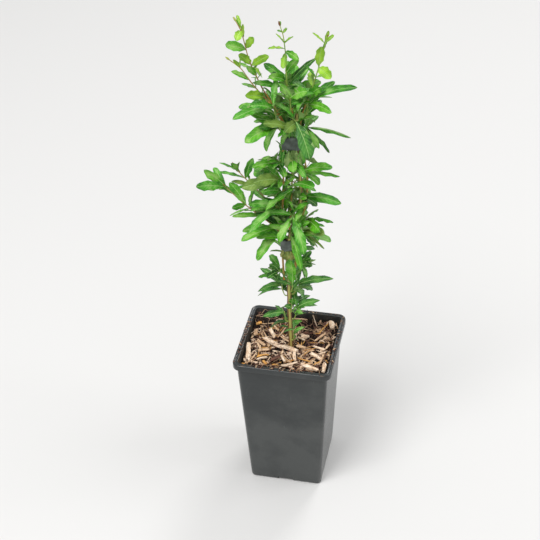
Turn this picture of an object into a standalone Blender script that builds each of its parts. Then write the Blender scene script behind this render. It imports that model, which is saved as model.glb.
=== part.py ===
"""A young pomegranate shrub in its tall square nursery pot, as named closed solids.

The origin is the middle of the pot's underside, +Z is up and the pot's sides face along X and Y.
The stems grow in a fan. A place in it is given as (across, away, height) in millimetres: across runs
along the fan's bearing, away is square to it, and height is above the underside.
"""

import math
import random
from collections import namedtuple

import bmesh
import bpy
import numpy as np
from mathutils import Matrix
from mathutils.bvhtree import BVHTree

MM = 0.001
GAP = 0.3  # the clearance that touching pieces keep, in millimetres
UP = np.array([0.0, 0.0, 1.0])

# Pot, in millimetres
RIM_WIDTH = 125.0
BASE_WIDTH = 94.6
POT_HEIGHT = 206.0
LIP_HEIGHT = 8.0
LIP_OVERHANG = 4.5
WALL = 1.6
BODY_CORNER = 6.0
FOOT_ROUNDING = 3.0
NOTCH_WIDTH, NOTCH_HEIGHT = 20.0, 4.5
DRAIN_HOLE_RADIUS, DRAIN_HOLE_OFFSET = 5.0, 24.0

# Filling, in millimetres above the underside
MIX_TOP = 185.0
MULCH_TOP = 193.0
MULCH_CELLS = 8
CHIP_COUNT = 22
CHIP_LENGTH, CHIP_WIDTH, CHIP_THICKNESS = (9.0, 22.0), (2.6, 5.2), (1.6, 2.6)
STEM_CLEARANCE = 2.0

# Plant
FAN_BEARING = math.radians(13.2)
LIMB_STEP = 12.0  # distance between the points of a limb's curve, in millimetres
LIMB_SIDES = 6
FLARE_HEIGHT, FLARE_SHARE = 9.0, 0.45
TWIG_RADIUS, TWIG_TIP_RADIUS = 0.85, 0.5
TWIG_POINTS = 5
LEAF_SLENDERNESS = 0.31  # blade width over leaf length
LEAF_DEPTH = 0.03  # of its length, from the blade down to the keel of its midrib
LEAF_RINGS = ((0.0, 0.0), (0.09, 0.14), (0.34, 0.86), (0.64, 1.0), (0.87, 0.62), (1.0, 0.0))  # along, across
SPRAY_SPREAD, SPRAY_DROOP = 60, 34  # degrees
SHOOT_SPREAD, SHOOT_DROOP = 50, 16
RIM_ZONE = 13.7  # how far in from the rim's outside a leaf stays above it
CLEAR = 0.15  # how far each solid is grown for the test that a leaf touches nothing, in millimetres
SET_WIDTH = 0.88  # blade width over the width that a leaf's place is listed with
LIGHT = (270, 50)  # bearing and height, in degrees, of the light that the set leaves face

Limb = namedtuple("Limb", "name grows_from points foot_radius tip_radius")
Spray = namedtuple("Spray", "name limb foot bearing reach rise leaf pairs leaves")
Shoot = namedtuple("Shoot", "name limb points leaf pairs leaves")

LIMBS = (
    Limb("main_stem", None,
         ((1, 0, 185.6), (1, 0, 200), (0, 0, 250), (0, 0, 300), (-1, 0, 350), (6, 0, 380),
          (14, 0, 404), (16, 0, 430), (14.5, 0, 470), (10.5, 0, 500), (13, 0, 534)), 3.1, 1.6),
    Limb("bough_left", ("main_stem", 296, 180),
         ((-6, 2.5, 306), (-6.8, 2.5, 330), (-6.5, 2.5, 354), (-6, 2.5, 400), (-4, 2.5, 436),
          (-4, 2.5, 470), (-3, 2.5, 487), (-0.2, 2.5, 505), (-5, 2, 526), (-19, 1, 551)), 1.3, 0.8),
    Limb("bough_right", ("main_stem", 300, 0),
         ((7, 2.5, 310), (9, 2.5, 330), (9, 2.5, 354), (15, 2.5, 384), (21.5, 2.5, 410), (24, 2.5, 438),
          (22.5, 2.5, 462), (18.5, 2.5, 486), (16.6, 2.5, 505), (18, 2, 530), (27.5, 1, 557)), 1.3, 0.8),
    Limb("bough_back", ("main_stem", 305, 90),
         ((0, 7, 315), (0.5, 7, 335), (1, 7, 356), (4, 9, 400), (6.5, 9, 450), (5, 7.2, 488),
          (3, 7.5, 506), (-6, 8.5, 528), (-24, 7, 562)), 1.3, 0.8),
    Limb("bough_centre", ("main_stem", 528, 200), ((7.6, -1, 538), (4.4, -1, 556)), 0.95, 0.8),
    Limb("arm_left_low", ("bough_left", 372, 190), ((-14, 1, 379), (-22, 0, 388), (-30, -1, 396)), 0.95, 0.8),
    Limb("arm_left_high", ("bough_left", 398, 170), ((-13, 4.5, 407), (-20, 5.5, 414), (-27, 6, 420.5)), 0.9, 0.75),
)

# Long shoots that carry on from the tip of a limb: the points they pass through, the length and the
# number of pairs of the leaves that the growth rule adds, and the leaves that stand out. Each of those is
# given by its share along the stem, the bearing, tilt and distance of its tip, its width and its roll.
SHOOTS = (
    Shoot("shoot_top_left", "bough_back", ((-36, 4, 594), (-41, 1, 615), (-45.5, -2, 639), (-51, -3, 652)), 22, 2,
          ((0.88, 146, 51, 15, 5, 20), (0.88, 105, 47, 16, 6, 0), (0.86, 255, -7, 20, 11, 0),
          (0.59, 207, 27, 28, 14, 0), (0.61, 319, 53, 21, 11, 0), (0.38, 208, 46, 22, 11, 0),
          (0.36, 332, 37, 28, 11, 0), (0.34, 51, -49, 26, 13, 0), (0.2, 214, 51, 21, 9, 0))),
    Shoot("shoot_top_left_low", "bough_left", ((-35, -2, 574), (-48, -4, 596), (-60, -6, 608)), 20, 2,
          ((0.78, 222, 55, 15, 5, 0), (0.48, 205, 37, 28, 10, 0), (0.44, 30, -23, 34, 10, 0),
          (0.09, 223, 25, 32, 14, 0))),
    Shoot("shoot_top_centre", "bough_centre", ((2, -2, 580), (1.4, -3, 610), (-1, -3, 634), (-4, -3, 645)), 20, 2,
          ((0.9, 222, 32, 9, 4, 0), (0.89, 53, 19, 9, 4, 0), (1, 90, 80, 6, 3.6, 0), (0.68, 221, 20, 26, 7, 60),
          (0.65, 302, 2, 27, 10, 0), (0.63, 262, -18, 24, 9, 0), (0.34, 330, 55, 28, 11, 0))),
    Shoot("shoot_top_right", "bough_right", ((37.5, -1, 593), (44, -2, 620), (47, -2, 630)), 20, 2,
          ((0.87, 191, 47, 21, 5, 50), (0.9, 331, 74, 15, 5, 20), (0.89, 47, 15, 15, 5, 20),
          (0.49, 300, 76, 28, 13, 0), (0.48, 298, -5, 26, 15, 0), (0.15, 91, 9, 28, 11, 0))),
    Shoot("shoot_left_low", "arm_left_low", ((-48, -3, 415), (-64, -4, 434), (-72, -4, 444)), 30, 2,
          ((0.05, 204, 15, 37, 9, 20), (0.42, 221, 13, 22, 10, 0), (0.42, 175, 59, 36, 14, 0),
          (0.97, 210, 20, 41, 15, 0), (0.94, 189, 48, 38, 14, 0), (1, 119, 22, 30, 10, 0))),
    Shoot("shoot_left_high", "arm_left_high", ((-36, 6, 432), (-49, 6, 448), (-57, 6, 459), (-60, 6, 465)), 26, 2,
          ((0.26, 197, 29, 34, 8, 20), (0.59, 351, 72, 31, 12, 0), (0.6, 157, 3, 35, 8, 20),
          (0.82, 188, 33, 27, 7, 20), (0.85, 220, 54, 17, 8, 0))),
)

# Short sprays on a limb: the height and bearing of the foot, the stem's reach and rise, and the leaves as above
SPRAYS = (
    Spray("spray_foot_front", "main_stem", 208, 296, 6, 22, 13, 1,
          ((1, 198, 8, 12, 4, 0), (0.8, 12, 17, 15, 6, 0), (0.6, 333, 46, 11, 4, 0))),
    Spray("spray_foot_back", "main_stem", 214, 101, 6, 16, 16, 2,
          ((1, 203, 11, 18, 6, 0), (0.6, 9, 13, 18, 8, 0))),
    Spray("spray_low_left", "main_stem", 238, 223, 6, 19, 34, 1,
          ((1, 187, -7, 28, 12, 0), (0.6, 119, 2, 25, 8, 0))),
    Spray("spray_low_right", "main_stem", 240, 343, 6, 20, 36, 1,
          ((1, 337, 33, 37, 12, 0), (0.8, 296, 19, 19, 9, 20), (0.6, 57, -7, 30, 11, 0))),
    Spray("spray_low_back", "main_stem", 250, 73, 6, 20, 36, 4, ()),
    Spray("spray_low_front", "main_stem", 254, 288, 6, 16, 20, 1,
          ((1, 280, 63, 18, 11, 0), (0.6, 212, 37, 14, 9, 0))),
    Spray("spray_knee_left", "main_stem", 277, 180, 6, 18, 44, 1,
          ((1, 221, 15, 41, 11, 0), (0.6, 155, -31, 41, 9, 20))),
    Spray("spray_knee_right", "main_stem", 279, 0, 7, 15, 46, 1,
          ((1, 348, 18, 48, 13, 0), (0.8, 41, -36, 34, 14, 0), (0.6, 54, -59, 34, 14, 0))),
    Spray("spray_knee_front", "main_stem", 286, 296, 6, 13, 32, 1,
          ((1, 92, 53, 32, 16, 0), (0.6, 31, 35, 14, 8, 0))),
    Spray("spray_knee_back", "main_stem", 280, 72, 6, 19, 42, 4, ()),
    Spray("spray_neck_left", "bough_left", 318, 220, 6, -3, 29, 1,
          ((1, 221, 51, 25, 11, 0), (0.8, 231, 11, 25, 9, 0), (0.6, 115, 12, 28, 12, 0))),
    Spray("spray_neck_right", "bough_right", 322, 355, 6, 0, 26, 2,
          ((1, 23, 49, 22, 10, 0), (0.87, 339, 46, 19, 9, 0), (0.73, 319, 21, 20, 10, 0),
          (0.6, 11, -69, 23, 9, 0))),
    Spray("spray_neck_back", "bough_back", 330, 65, 6, 6, 32, 4, ()),
    Spray("spray_waist_left", "bough_left", 362, 241, 7, 18, 48, 3,
          ((1, 205, -4, 50, 15, 0), (0.6, 216, -38, 44, 17, 0))),
    Spray("spray_waist_front", "main_stem", 366, 274, 8, 13, 46, 3, ((1, 294, -50, 45, 12, 0),)),
    Spray("spray_waist_right", "bough_right", 370, 310, 6, 9, 44, 3,
          ((1, 318, 14, 36, 16, 0), (0.87, 16, -45, 30, 11, 0), (0.73, 332, -30, 35, 10, 70),
          (0.6, 18, -58, 30, 9, 60))),
    Spray("spray_waist_back", "bough_back", 374, 93, 7, -2, 46, 4, ()),
    Spray("spray_waist_far_right", "bough_right", 388, 14, 6, 0, 44, 3,
          ((1, 327, 13, 38, 10, 40), (0.8, 295, 6, 36, 18, 0), (0.6, 333, 49, 26, 10, 60))),
    Spray("spray_belly_front", "main_stem", 394, 241, 9, 10, 46, 3,
          ((1, 294, -51, 48, 16, 0), (0.8, 226, -45, 35, 14, 0), (0.6, 294, -13, 19, 9, 0))),
    Spray("spray_belly_left", "bough_left", 402, 227, 6, 11, 46, 3,
          ((1, 206, 22, 42, 12, 0), (0.87, 224, -14, 50, 13, 0), (0.73, 177, -72, 36, 14, 0),
          (0.6, 190, -27, 38, 11, 0))),
    Spray("spray_belly_right", "bough_right", 414, 239, 6, 12, 48, 3,
          ((1, 331, 6, 50, 15, 0), (0.8, 27, -43, 26, 10, 60), (0.6, 286, 28, 16, 10, 0))),
    Spray("spray_belly_back", "bough_back", 412, 117, 9, -9, 48, 4, ()),
    Spray("spray_belly_far", "bough_back", 432, 33, 15, -6, 44, 4, ()),
    Spray("spray_chest_low", "bough_left", 422, 259, 6, 12, 44, 3,
          ((1, 227, 27, 36, 12, 0), (0.6, 135, -33, 32, 16, 0))),
    Spray("spray_chest_left", "bough_left", 446, 244, 6, 3, 46, 3,
          ((1, 217, 19, 42, 19, -15), (0.8, 139, -7, 43, 18, 0), (0.6, 259, 14, 24, 10, 0))),
    Spray("spray_chest_front", "main_stem", 438, 229, 11, 10, 44, 3,
          ((1, 309, 13, 34, 16, 0), (0.87, 54, -27, 36, 12, 0), (0.73, 86, -67, 34, 10, 0),
          (0.6, 142, -70, 44, 12, 0))),
    Spray("spray_chest_right", "bough_right", 454, 197, 6, 7, 46, 3,
          ((1, 338, 18, 38, 16, 0), (0.87, 29, 2, 36, 14, 0), (0.73, 335, 6, 46, 10, 70),
          (0.6, 43, -54, 32, 11, 0))),
    Spray("spray_throat_left", "bough_left", 468, 217, 6, 2, 42, 3,
          ((1, 217, 16, 40, 12, 0), (0.8, 130, -16, 38, 10, 40), (0.6, 308, -50, 16, 11, 0))),
    Spray("spray_throat_back", "bough_back", 466, 60, 10, -1, 42, 4, ()),
    Spray("spray_throat_front", "main_stem", 470, 230, 11, 10, 34, 3,
          ((1, 271, 2, 26, 14, 160), (0.6, 293, 0, 34, 11, 0))),
    Spray("spray_shoulder_left", "bough_left", 511, 213, 8, 12, 46, 3,
          ((1, 218, -4, 48, 18, 0), (0.87, 157, -66, 40, 13, 0), (0.73, 142, -6, 36, 14, 0),
          (0.6, 218, 23, 32, 13, 0))),
    Spray("spray_shoulder_front", "main_stem", 514, 270, 8, 18, 50, 3,
          ((1, 302, -53, 45, 21, 0), (0.8, 240, 3, 26, 15, 0), (0.6, 147, -50, 34, 10, 0))),
    Spray("spray_shoulder_right", "bough_right", 514, 338, 6, 3, 48, 3,
          ((1, 331, 1, 56, 11, 76), (0.87, 317, -46, 28, 10, 30), (0.73, 9, -53, 46, 10, 70),
          (0.6, 50, 9, 26, 9, 20))),
    Spray("spray_shoulder_back", "bough_back", 512, 76, 9, 6, 46, 4, ()),
    Spray("spray_crown_left", "bough_left", 525, 231, 13, 27, 44, 3,
          ((1, 205, -4, 50, 14, 0), (0.8, 206, 21, 36, 15, 0), (0.6, 158, 1, 44, 13, 0))),
    Spray("spray_crown_front", "bough_centre", 540, 258, 8, 21, 34, 3,
          ((1, 318, 35, 30, 17, 0), (0.8, 202, 62, 25, 14, 0), (0.6, 318, 27, 14, 8, 0))),
    Spray("spray_crown_right", "bough_right", 532, 310, 10, 25, 46, 3,
          ((1, 310, 48, 32, 14, 0), (0.87, 340, 25, 62, 11, 20), (0.73, 309, 9, 40, 12, 35),
          (0.6, 63, -17, 24, 10, 0))),
    Spray("spray_crown_back", "bough_back", 534, 17, 18, 23, 36, 3,
          ((1, 155, 38, 44, 13, 0), (0.87, 73, 45, 32, 13, 0), (0.73, 24, 39, 38, 13, 0),
          (0.6, 10, 22, 41, 17, 0))),
    Spray("spray_crown_high", "bough_centre", 551, 127, 6, 24, 30, 3,
          ((1, 213, 28, 26, 12, 0), (0.87, 146, -24, 26, 11, 0), (0.73, 20, 35, 31, 9, 0),
          (0.6, 21, 38, 48, 8, 30))),
)

# Grey soft ties round the bundle of stems: heights of the foot and the head
TIES = (("tie_lower", 346, 362), ("tie_upper", 487, 505))
TIE_WALL = 0.8
TIE_SIDES = 20

# Turns, in degrees, and lifts of its foot that a blocked spray tries
SPRAY_TRIES = ((0, 0), (15, 0), (-15, 0), (0, -5), (0, 5), (30, 0), (-30, 0), (30, -5), (-30, -5), (50, 5), (-50, 5))

# Changes of bearing and tilt, in degrees, and share of length that a blocked leaf tries
LEAF_TRIES = ((0, 0, 1.0), (9, 5, 1.0), (-9, 5, 1.0), (9, -7, 1.0), (-9, -7, 1.0), (0, 16, 1.0), (0, -16, 1.0),
              (20, 8, 0.95), (-20, 8, 0.95), (24, -14, 0.9), (-24, -14, 0.9), (40, 0, 0.85), (-40, 0, 0.85))

# Colour, roughness and metallic value of each material
MATERIALS = {
    "pot_plastic": ((0.075, 0.082, 0.080), 0.42, 0.0),
    "potting_mix": ((0.030, 0.021, 0.015), 0.95, 0.0),
    "wood_chips": ((0.42, 0.29, 0.17), 0.85, 0.0),
    "stem_bark": ((0.22, 0.15, 0.07), 0.70, 0.0),
    "foliage": ((0.09, 0.27, 0.03), 0.38, 0.0),
    "tie_tape": ((0.085, 0.095, 0.085), 0.75, 0.0),
}


def unit(vector):
    return vector / np.linalg.norm(vector)


def bearing_vector(degrees):
    """The level direction at this bearing from the fan's across direction."""
    angle = math.radians(degrees) + FAN_BEARING
    return np.array([math.cos(angle), math.sin(angle), 0.0])


def placed(point):
    """A place in the fan as a place in the pot's own axes, in millimetres."""
    across, away, height = point
    return across * bearing_vector(0) + away * bearing_vector(90) + height * UP


def new_collection(name):
    collection = bpy.data.collections.new(name)
    bpy.context.scene.collection.children.link(collection)
    return collection


def material(name):
    made = bpy.data.materials.get(name) or bpy.data.materials.new(name)
    colour, roughness, metallic = MATERIALS[name]
    made.use_nodes = True
    shader = made.node_tree.nodes["Principled BSDF"]
    shader.inputs["Base Color"].default_value = (*colour, 1.0)
    shader.inputs["Roughness"].default_value = roughness
    shader.inputs["Metallic"].default_value = metallic
    return made


def face_outwards(bm):
    bmesh.ops.recalc_face_normals(bm, faces=bm.faces)
    if bm.calc_volume(signed=True) < 0:
        bmesh.ops.reverse_faces(bm, faces=bm.faces)


def object_from(bm, name, collection, finish=None):
    """The bmesh, whose sizes are millimetres, as an object in metres."""
    bmesh.ops.scale(bm, vec=(MM, MM, MM), verts=bm.verts)
    mesh = bpy.data.meshes.new(name)
    bm.to_mesh(mesh)
    bm.free()
    made = bpy.data.objects.new(name, mesh)
    collection.objects.link(made)
    if finish:
        mesh.materials.append(material(finish))
    return made


def block(low_half, high_half, low, high, corner, segments):
    """A tapered square block with rounded upright edges, as a bmesh."""
    bm = bmesh.new()
    bmesh.ops.create_cube(bm, size=2)
    for vert in bm.verts:
        half = high_half if vert.co.z > 0 else low_half
        vert.co = (vert.co.x * half, vert.co.y * half, high if vert.co.z > 0 else low)
    upright = [e for e in bm.edges if abs(e.verts[0].co.z - e.verts[1].co.z) > (high - low) / 2]
    bmesh.ops.bevel(bm, geom=upright, offset=corner, segments=segments, profile=0.5, affect="EDGES")
    return bm


def round_foot(bm, low, rounding, segments):
    foot = [e for e in bm.edges if all(abs(v.co.z - low) < 1e-3 for v in e.verts)]
    bmesh.ops.bevel(bm, geom=foot, offset=rounding, segments=segments, profile=0.5, affect="EDGES")


def body_half(height):
    """Half the width of the pot's tapered body at this height, outside."""
    top_half = RIM_WIDTH / 2 - LIP_OVERHANG
    return BASE_WIDTH / 2 + (top_half - BASE_WIDTH / 2) * height / POT_HEIGHT


def move_ring(bm, ring, outwards, drop):
    """Extrudes the ring at the body's top, and puts the new one this far outwards and this far down."""
    middle = body_half(POT_HEIGHT - WALL) - BODY_CORNER
    grown = bmesh.ops.extrude_edge_only(bm, edges=ring)["geom"]
    for vert in (v for v in grown if isinstance(v, bmesh.types.BMVert)):
        x, y = (vert.co[k] - math.copysign(middle, vert.co[k]) for k in (0, 1))
        vert.co.x += outwards * x / math.hypot(x, y)
        vert.co.y += outwards * y / math.hypot(x, y)
        vert.co.z -= drop
    return [e for e in grown if isinstance(e, bmesh.types.BMEdge) and e.is_boundary]


def build_pot(collection, cutters):
    """A thin moulded shell: tapered body, out-turned lip with a skirt, notches and drain holes in its base."""
    top = POT_HEIGHT - WALL
    bm = block(body_half(0), body_half(top), 0, top, BODY_CORNER, 4)
    round_foot(bm, 0, FOOT_ROUNDING, 2)
    bmesh.ops.delete(bm, geom=[f for f in bm.faces if f.calc_center_median().z > top - 1e-3], context="FACES")
    ring = [e for e in bm.edges if e.is_boundary]
    chamfer = 1.0
    overhang = RIM_WIDTH / 2 - WALL - body_half(top)
    ring = move_ring(bm, ring, overhang - chamfer, 0)
    ring = move_ring(bm, ring, chamfer, chamfer)
    move_ring(bm, ring, 0, LIP_HEIGHT - WALL - chamfer)
    pot = object_from(bm, "pot", collection, "pot_plastic")
    shell = pot.modifiers.new("wall", "SOLIDIFY")
    shell.thickness = WALL * MM
    shell.offset = -1
    shell.use_even_offset = True
    cut = pot.modifiers.new("drainage", "BOOLEAN")
    cut.operation = "DIFFERENCE"
    cut.operand_type = "COLLECTION"
    cut.collection = cutters
    build_drainage(cutters)


def build_drainage(cutters):
    """Cutters for a notch at the middle of each lower edge and four round holes in the base."""
    for name, width, depth in (("notch_x", RIM_WIDTH, NOTCH_WIDTH), ("notch_y", NOTCH_WIDTH, RIM_WIDTH)):
        for side in (-1, 1):
            bm = bmesh.new()
            bmesh.ops.create_cube(bm, size=1)
            bmesh.ops.scale(bm, vec=(min(width, NOTCH_WIDTH), min(depth, NOTCH_WIDTH), 2 * NOTCH_HEIGHT), verts=bm.verts)
            middle = side * (BASE_WIDTH / 2 + NOTCH_WIDTH / 2 - 4)
            shift = (middle, 0, 0) if name == "notch_x" else (0, middle, 0)
            bmesh.ops.translate(bm, vec=shift, verts=bm.verts)
            make_cutter(object_from(bm, f"{name}_{side}", cutters))
    for x in (-DRAIN_HOLE_OFFSET, DRAIN_HOLE_OFFSET):
        for y in (-DRAIN_HOLE_OFFSET, DRAIN_HOLE_OFFSET):
            bm = bmesh.new()
            bmesh.ops.create_cone(bm, cap_ends=True, segments=16, radius1=DRAIN_HOLE_RADIUS,
                                  radius2=DRAIN_HOLE_RADIUS, depth=4 * WALL)
            bmesh.ops.translate(bm, vec=(x, y, 0), verts=bm.verts)
            make_cutter(object_from(bm, "drain_hole", cutters))


def make_cutter(obj):
    obj.hide_render = True
    obj.display_type = "WIRE"


def build_potting_mix(collection):
    """The root ball's mix, which fills the pot to below its rim."""
    inset = WALL + GAP + 0.1
    low = WALL + GAP
    bm = block(body_half(low) - inset, body_half(MIX_TOP) - inset, low, MIX_TOP, BODY_CORNER, 4)
    round_foot(bm, low, FOOT_ROUNDING + 0.6, 1)
    object_from(bm, "potting_mix", collection, "potting_mix")


def round_corner(x, y, half, corner):
    """Draws a point of a square in towards the arc of a rounded corner."""
    over_x, over_y = abs(x) - (half - corner), abs(y) - (half - corner)
    if over_x <= 0 or over_y <= 0:
        return x, y
    a, b = over_x / corner, over_y / corner
    drawn_x = half - corner + corner * a * math.sqrt(1 - b * b / 2)
    drawn_y = half - corner + corner * b * math.sqrt(1 - a * a / 2)
    return math.copysign(drawn_x, x), math.copysign(drawn_y, y)


def build_mulch(collection):
    """A thin uneven bed of wood chips on the mix, with the larger chips fused in, open round the stem."""
    draw = random.Random(7)
    low = MIX_TOP + GAP
    half = body_half(low) - WALL - GAP - 0.2
    bm = bmesh.new()
    bmesh.ops.create_grid(bm, x_segments=MULCH_CELLS, y_segments=MULCH_CELLS, size=half)
    for vert in bm.verts:
        vert.co.x, vert.co.y = round_corner(vert.co.x, vert.co.y, half, BODY_CORNER)
        vert.co.z = low
    grown = bmesh.ops.extrude_face_region(bm, geom=list(bm.faces))["geom"]
    for vert in (v for v in grown if isinstance(v, bmesh.types.BMVert)):
        vert.co.z = MULCH_TOP + draw.uniform(-1.8, 1.2)
    face_outwards(bm)
    bed = object_from(bm, "wood_chip_mulch", collection, "wood_chips")
    chips = new_collection("chips")
    for index in range(CHIP_COUNT):
        object_from(chip(draw, index, half), f"chip_{index}", chips)
    fuse(bed, chips)
    stem = LIMBS[0]
    around = [placed((*stem.points[0][:2], height)) for height in (MIX_TOP - 15, POT_HEIGHT)]
    cutter = limb_object("stem_hole", around, [stem.foot_radius + STEM_CLEARANCE] * 2, 12, collection)
    open_round = bed.modifiers.new("stem_hole", "BOOLEAN")
    open_round.object = cutter
    open_round.operation = "DIFFERENCE"
    apply_modifiers(bed)
    bpy.data.objects.remove(cutter)


def chip(draw, index, half):
    """One split chip, laid at the next place of an even spiral and tipped a little."""
    bm = bmesh.new()
    bmesh.ops.create_cube(bm, size=1)
    length, width, thickness = (draw.uniform(*span) for span in (CHIP_LENGTH, CHIP_WIDTH, CHIP_THICKNESS))
    bmesh.ops.scale(bm, vec=(length, width, thickness), verts=bm.verts)
    end = 0.55 + 0.4 * draw.random()
    for vert in bm.verts:
        if vert.co.x > 0:
            vert.co.y *= end
    golden = math.pi * (3 - math.sqrt(5))
    out = (half - length / 2 - 1.5) * math.sqrt((index + 0.7) / CHIP_COUNT)
    turn, tip, roll = draw.uniform(0, math.tau), draw.uniform(-0.16, 0.16), draw.uniform(-0.3, 0.3)
    square = 1 / max(abs(math.cos(index * golden)), abs(math.sin(index * golden)))
    reach = out * (1 + 0.8 * (square - 1) * out / half)
    centre = (reach * math.cos(index * golden), reach * math.sin(index * golden), MULCH_TOP + draw.uniform(-0.1, 1.2))
    for angle, axis in ((roll, "X"), (tip, "Y"), (turn, "Z")):
        bmesh.ops.rotate(bm, cent=(0, 0, 0), matrix=Matrix.Rotation(angle, 3, axis), verts=bm.verts)
    bmesh.ops.translate(bm, vec=centre, verts=bm.verts)
    return bm


def mesh_of(obj):
    """(vertices in millimetres, faces) of an object as it is evaluated."""
    evaluated = obj.evaluated_get(bpy.context.evaluated_depsgraph_get())
    mesh = evaluated.to_mesh()
    points = np.empty(len(mesh.vertices) * 3, np.float32)
    mesh.vertices.foreach_get("co", points)
    faces = [tuple(p.vertices) for p in mesh.polygons]
    evaluated.to_mesh_clear()
    return points.reshape(-1, 3).astype(float) / MM, faces


def tree_of(obj):
    points, faces = mesh_of(obj)
    return BVHTree.FromPolygons(points.tolist(), faces)


def fuse(base, collection):
    """Joins every object of a collection to the base in one union, and removes them."""
    joined = base.modifiers.new("fused", "BOOLEAN")
    joined.operation = "UNION"
    joined.operand_type = "COLLECTION"
    joined.collection = collection
    joined.solver = "MANIFOLD"
    apply_modifiers(base)
    for obj in list(collection.objects):
        bpy.data.objects.remove(obj)
    bpy.data.collections.remove(collection)
    keep_largest_shell(base)


def apply_modifiers(obj):
    bpy.context.view_layer.update()
    evaluated = obj.evaluated_get(bpy.context.evaluated_depsgraph_get())
    finished = bpy.data.meshes.new_from_object(evaluated)
    obj.modifiers.clear()
    obj.data = finished


def keep_largest_shell(obj):
    """Drops loose scraps and sealed hollows, so that one closed skin is left."""
    bm = bmesh.new()
    bm.from_mesh(obj.data)
    unseen, shells = set(bm.verts), []
    while unseen:
        shell, edge_of_search = set(), [unseen.pop()]
        while edge_of_search:
            vert = edge_of_search.pop()
            shell.add(vert)
            for edge in vert.link_edges:
                other = edge.other_vert(vert)
                if other in unseen:
                    unseen.remove(other)
                    edge_of_search.append(other)
        shells.append(shell)
    largest = max(shells, key=len)
    bmesh.ops.delete(bm, geom=[v for shell in shells if shell is not largest for v in shell], context="VERTS")
    bm.to_mesh(obj.data)
    bm.free()


def smooth_path(points, step):
    """Points every step along a smooth curve (Catmull-Rom) through the given ones."""
    points = np.array(points, float)
    ends = np.vstack([2 * points[0] - points[1], points, 2 * points[-1] - points[-2]])
    made = []
    for a, b, c, d in zip(ends, ends[1:], ends[2:], ends[3:]):
        count = max(1, round(np.linalg.norm(c - b) / step))
        for t in np.arange(count) / count:
            made.append(0.5 * (2 * b + (c - a) * t + (2 * a - 5 * b + 4 * c - d) * t**2 + (3 * b - a - 3 * c + d) * t**3))
    return np.array([*made, points[-1]])


def limb_object(name, path, radii, sides, collection, finish=None):
    """A round tapering limb: a curve with a bevel and filled caps, made a mesh with welded caps."""
    curve = bpy.data.curves.new(name, "CURVE")
    curve.dimensions = "3D"
    curve.bevel_depth = 1.0
    curve.bevel_resolution = (sides - 4) // 2
    curve.use_fill_caps = True
    curve.twist_mode = "MINIMUM"
    spline = curve.splines.new("POLY")
    spline.points.add(len(path) - 1)
    for point, place, radius in zip(spline.points, path, radii):
        point.co = (*(np.array(place) * MM), 1.0)
        point.radius = radius * MM
    guide = bpy.data.objects.new(name, curve)
    collection.objects.link(guide)
    bpy.context.view_layer.update()
    mesh = bpy.data.meshes.new_from_object(guide.evaluated_get(bpy.context.evaluated_depsgraph_get()))
    bpy.data.objects.remove(guide)
    bm = bmesh.new()
    bm.from_mesh(mesh)
    bmesh.ops.remove_doubles(bm, verts=bm.verts, dist=1e-6)
    face_outwards(bm)
    bm.to_mesh(mesh)
    bm.free()
    made = bpy.data.objects.new(name, mesh)
    collection.objects.link(made)
    if finish:
        mesh.materials.clear()
        mesh.materials.append(material(finish))
        mesh.shade_smooth()
    return made


def radius_along(limb, path):
    """The limb's radius at each point of its path: an even taper, and a flare at the foot of the main stem."""
    lengths = np.concatenate([[0], np.cumsum(np.linalg.norm(np.diff(path, axis=0), axis=1))])
    radii = limb.foot_radius + (limb.tip_radius - limb.foot_radius) * lengths / lengths[-1]
    if limb.grows_from is None:
        radii = radii * (1 + FLARE_SHARE * np.clip(1 - lengths / FLARE_HEIGHT, 0, 1) ** 2)
    return radii


def point_at_height(path, height):
    """The place on a rising path at this height, and how far along its points that is."""
    above = int(np.argmax(path[:, 2] >= height))
    share = (height - path[above - 1, 2]) / (path[above, 2] - path[above - 1, 2])
    return path[above - 1] + share * (path[above] - path[above - 1]), above - 1 + share


def foot_on(limbs, name, height, bearing):
    """The foot of what grows from a limb, one gap clear of its surface, and the way out, square to the limb."""
    path, radii = limbs[name]
    centre, index = point_at_height(path, min(height, path[-1, 2] - 1))
    axis = unit(path[int(index) + 1] - path[int(index)])
    out = bearing_vector(bearing)
    out = unit(out - (out @ axis) * axis)
    radius = np.interp(index, np.arange(len(radii)), radii)
    return centre + out * (radius + GAP + 0.15), out


def build_limbs(collection):
    """All limbs, and {name: (path, radii)} in millimetres."""
    limbs = {}
    for limb in LIMBS:
        points = [placed(p) for p in limb.points]
        if limb.grows_from:
            foot, out = foot_on(limbs, *limb.grows_from)
            points = [foot, foot + out * 2.2 + UP * 0.2, *points]
        path = smooth_path(points, LIMB_STEP)
        radii = radius_along(limb, path)
        limbs[limb.name] = (path, radii)
        limb_object(limb.name, path, radii, LIMB_SIDES, collection, "stem_bark")
    return limbs


def outline_round(limbs, low, high):
    """The corners, in millimetres, of a level loop drawn snugly round the limbs between two heights.

    Its sides are square to evenly turned directions, each as far out as the limbs reach plus one gap.
    """
    turn = math.tau / TIE_SIDES
    ways = np.array([(math.cos(turn * k), math.sin(turn * k)) for k in range(TIE_SIDES)])
    reach = np.full(TIE_SIDES, -1e9)
    for path, radii in limbs.values():
        for height in np.linspace(low, high, 7):
            if path[:, 2].min() < height < path[:, 2].max():
                centre, index = point_at_height(path, height)
                radius = np.interp(index, np.arange(len(radii)), radii)
                reach = np.maximum(reach, ways @ centre[:2] + radius + GAP + 0.15)
    beyond = np.roll(reach, -1)
    beside = np.stack([-ways[:, 1], ways[:, 0]], axis=1)
    return ways * reach[:, None] + beside * ((beyond - reach * math.cos(turn)) / math.sin(turn))[:, None]


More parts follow.
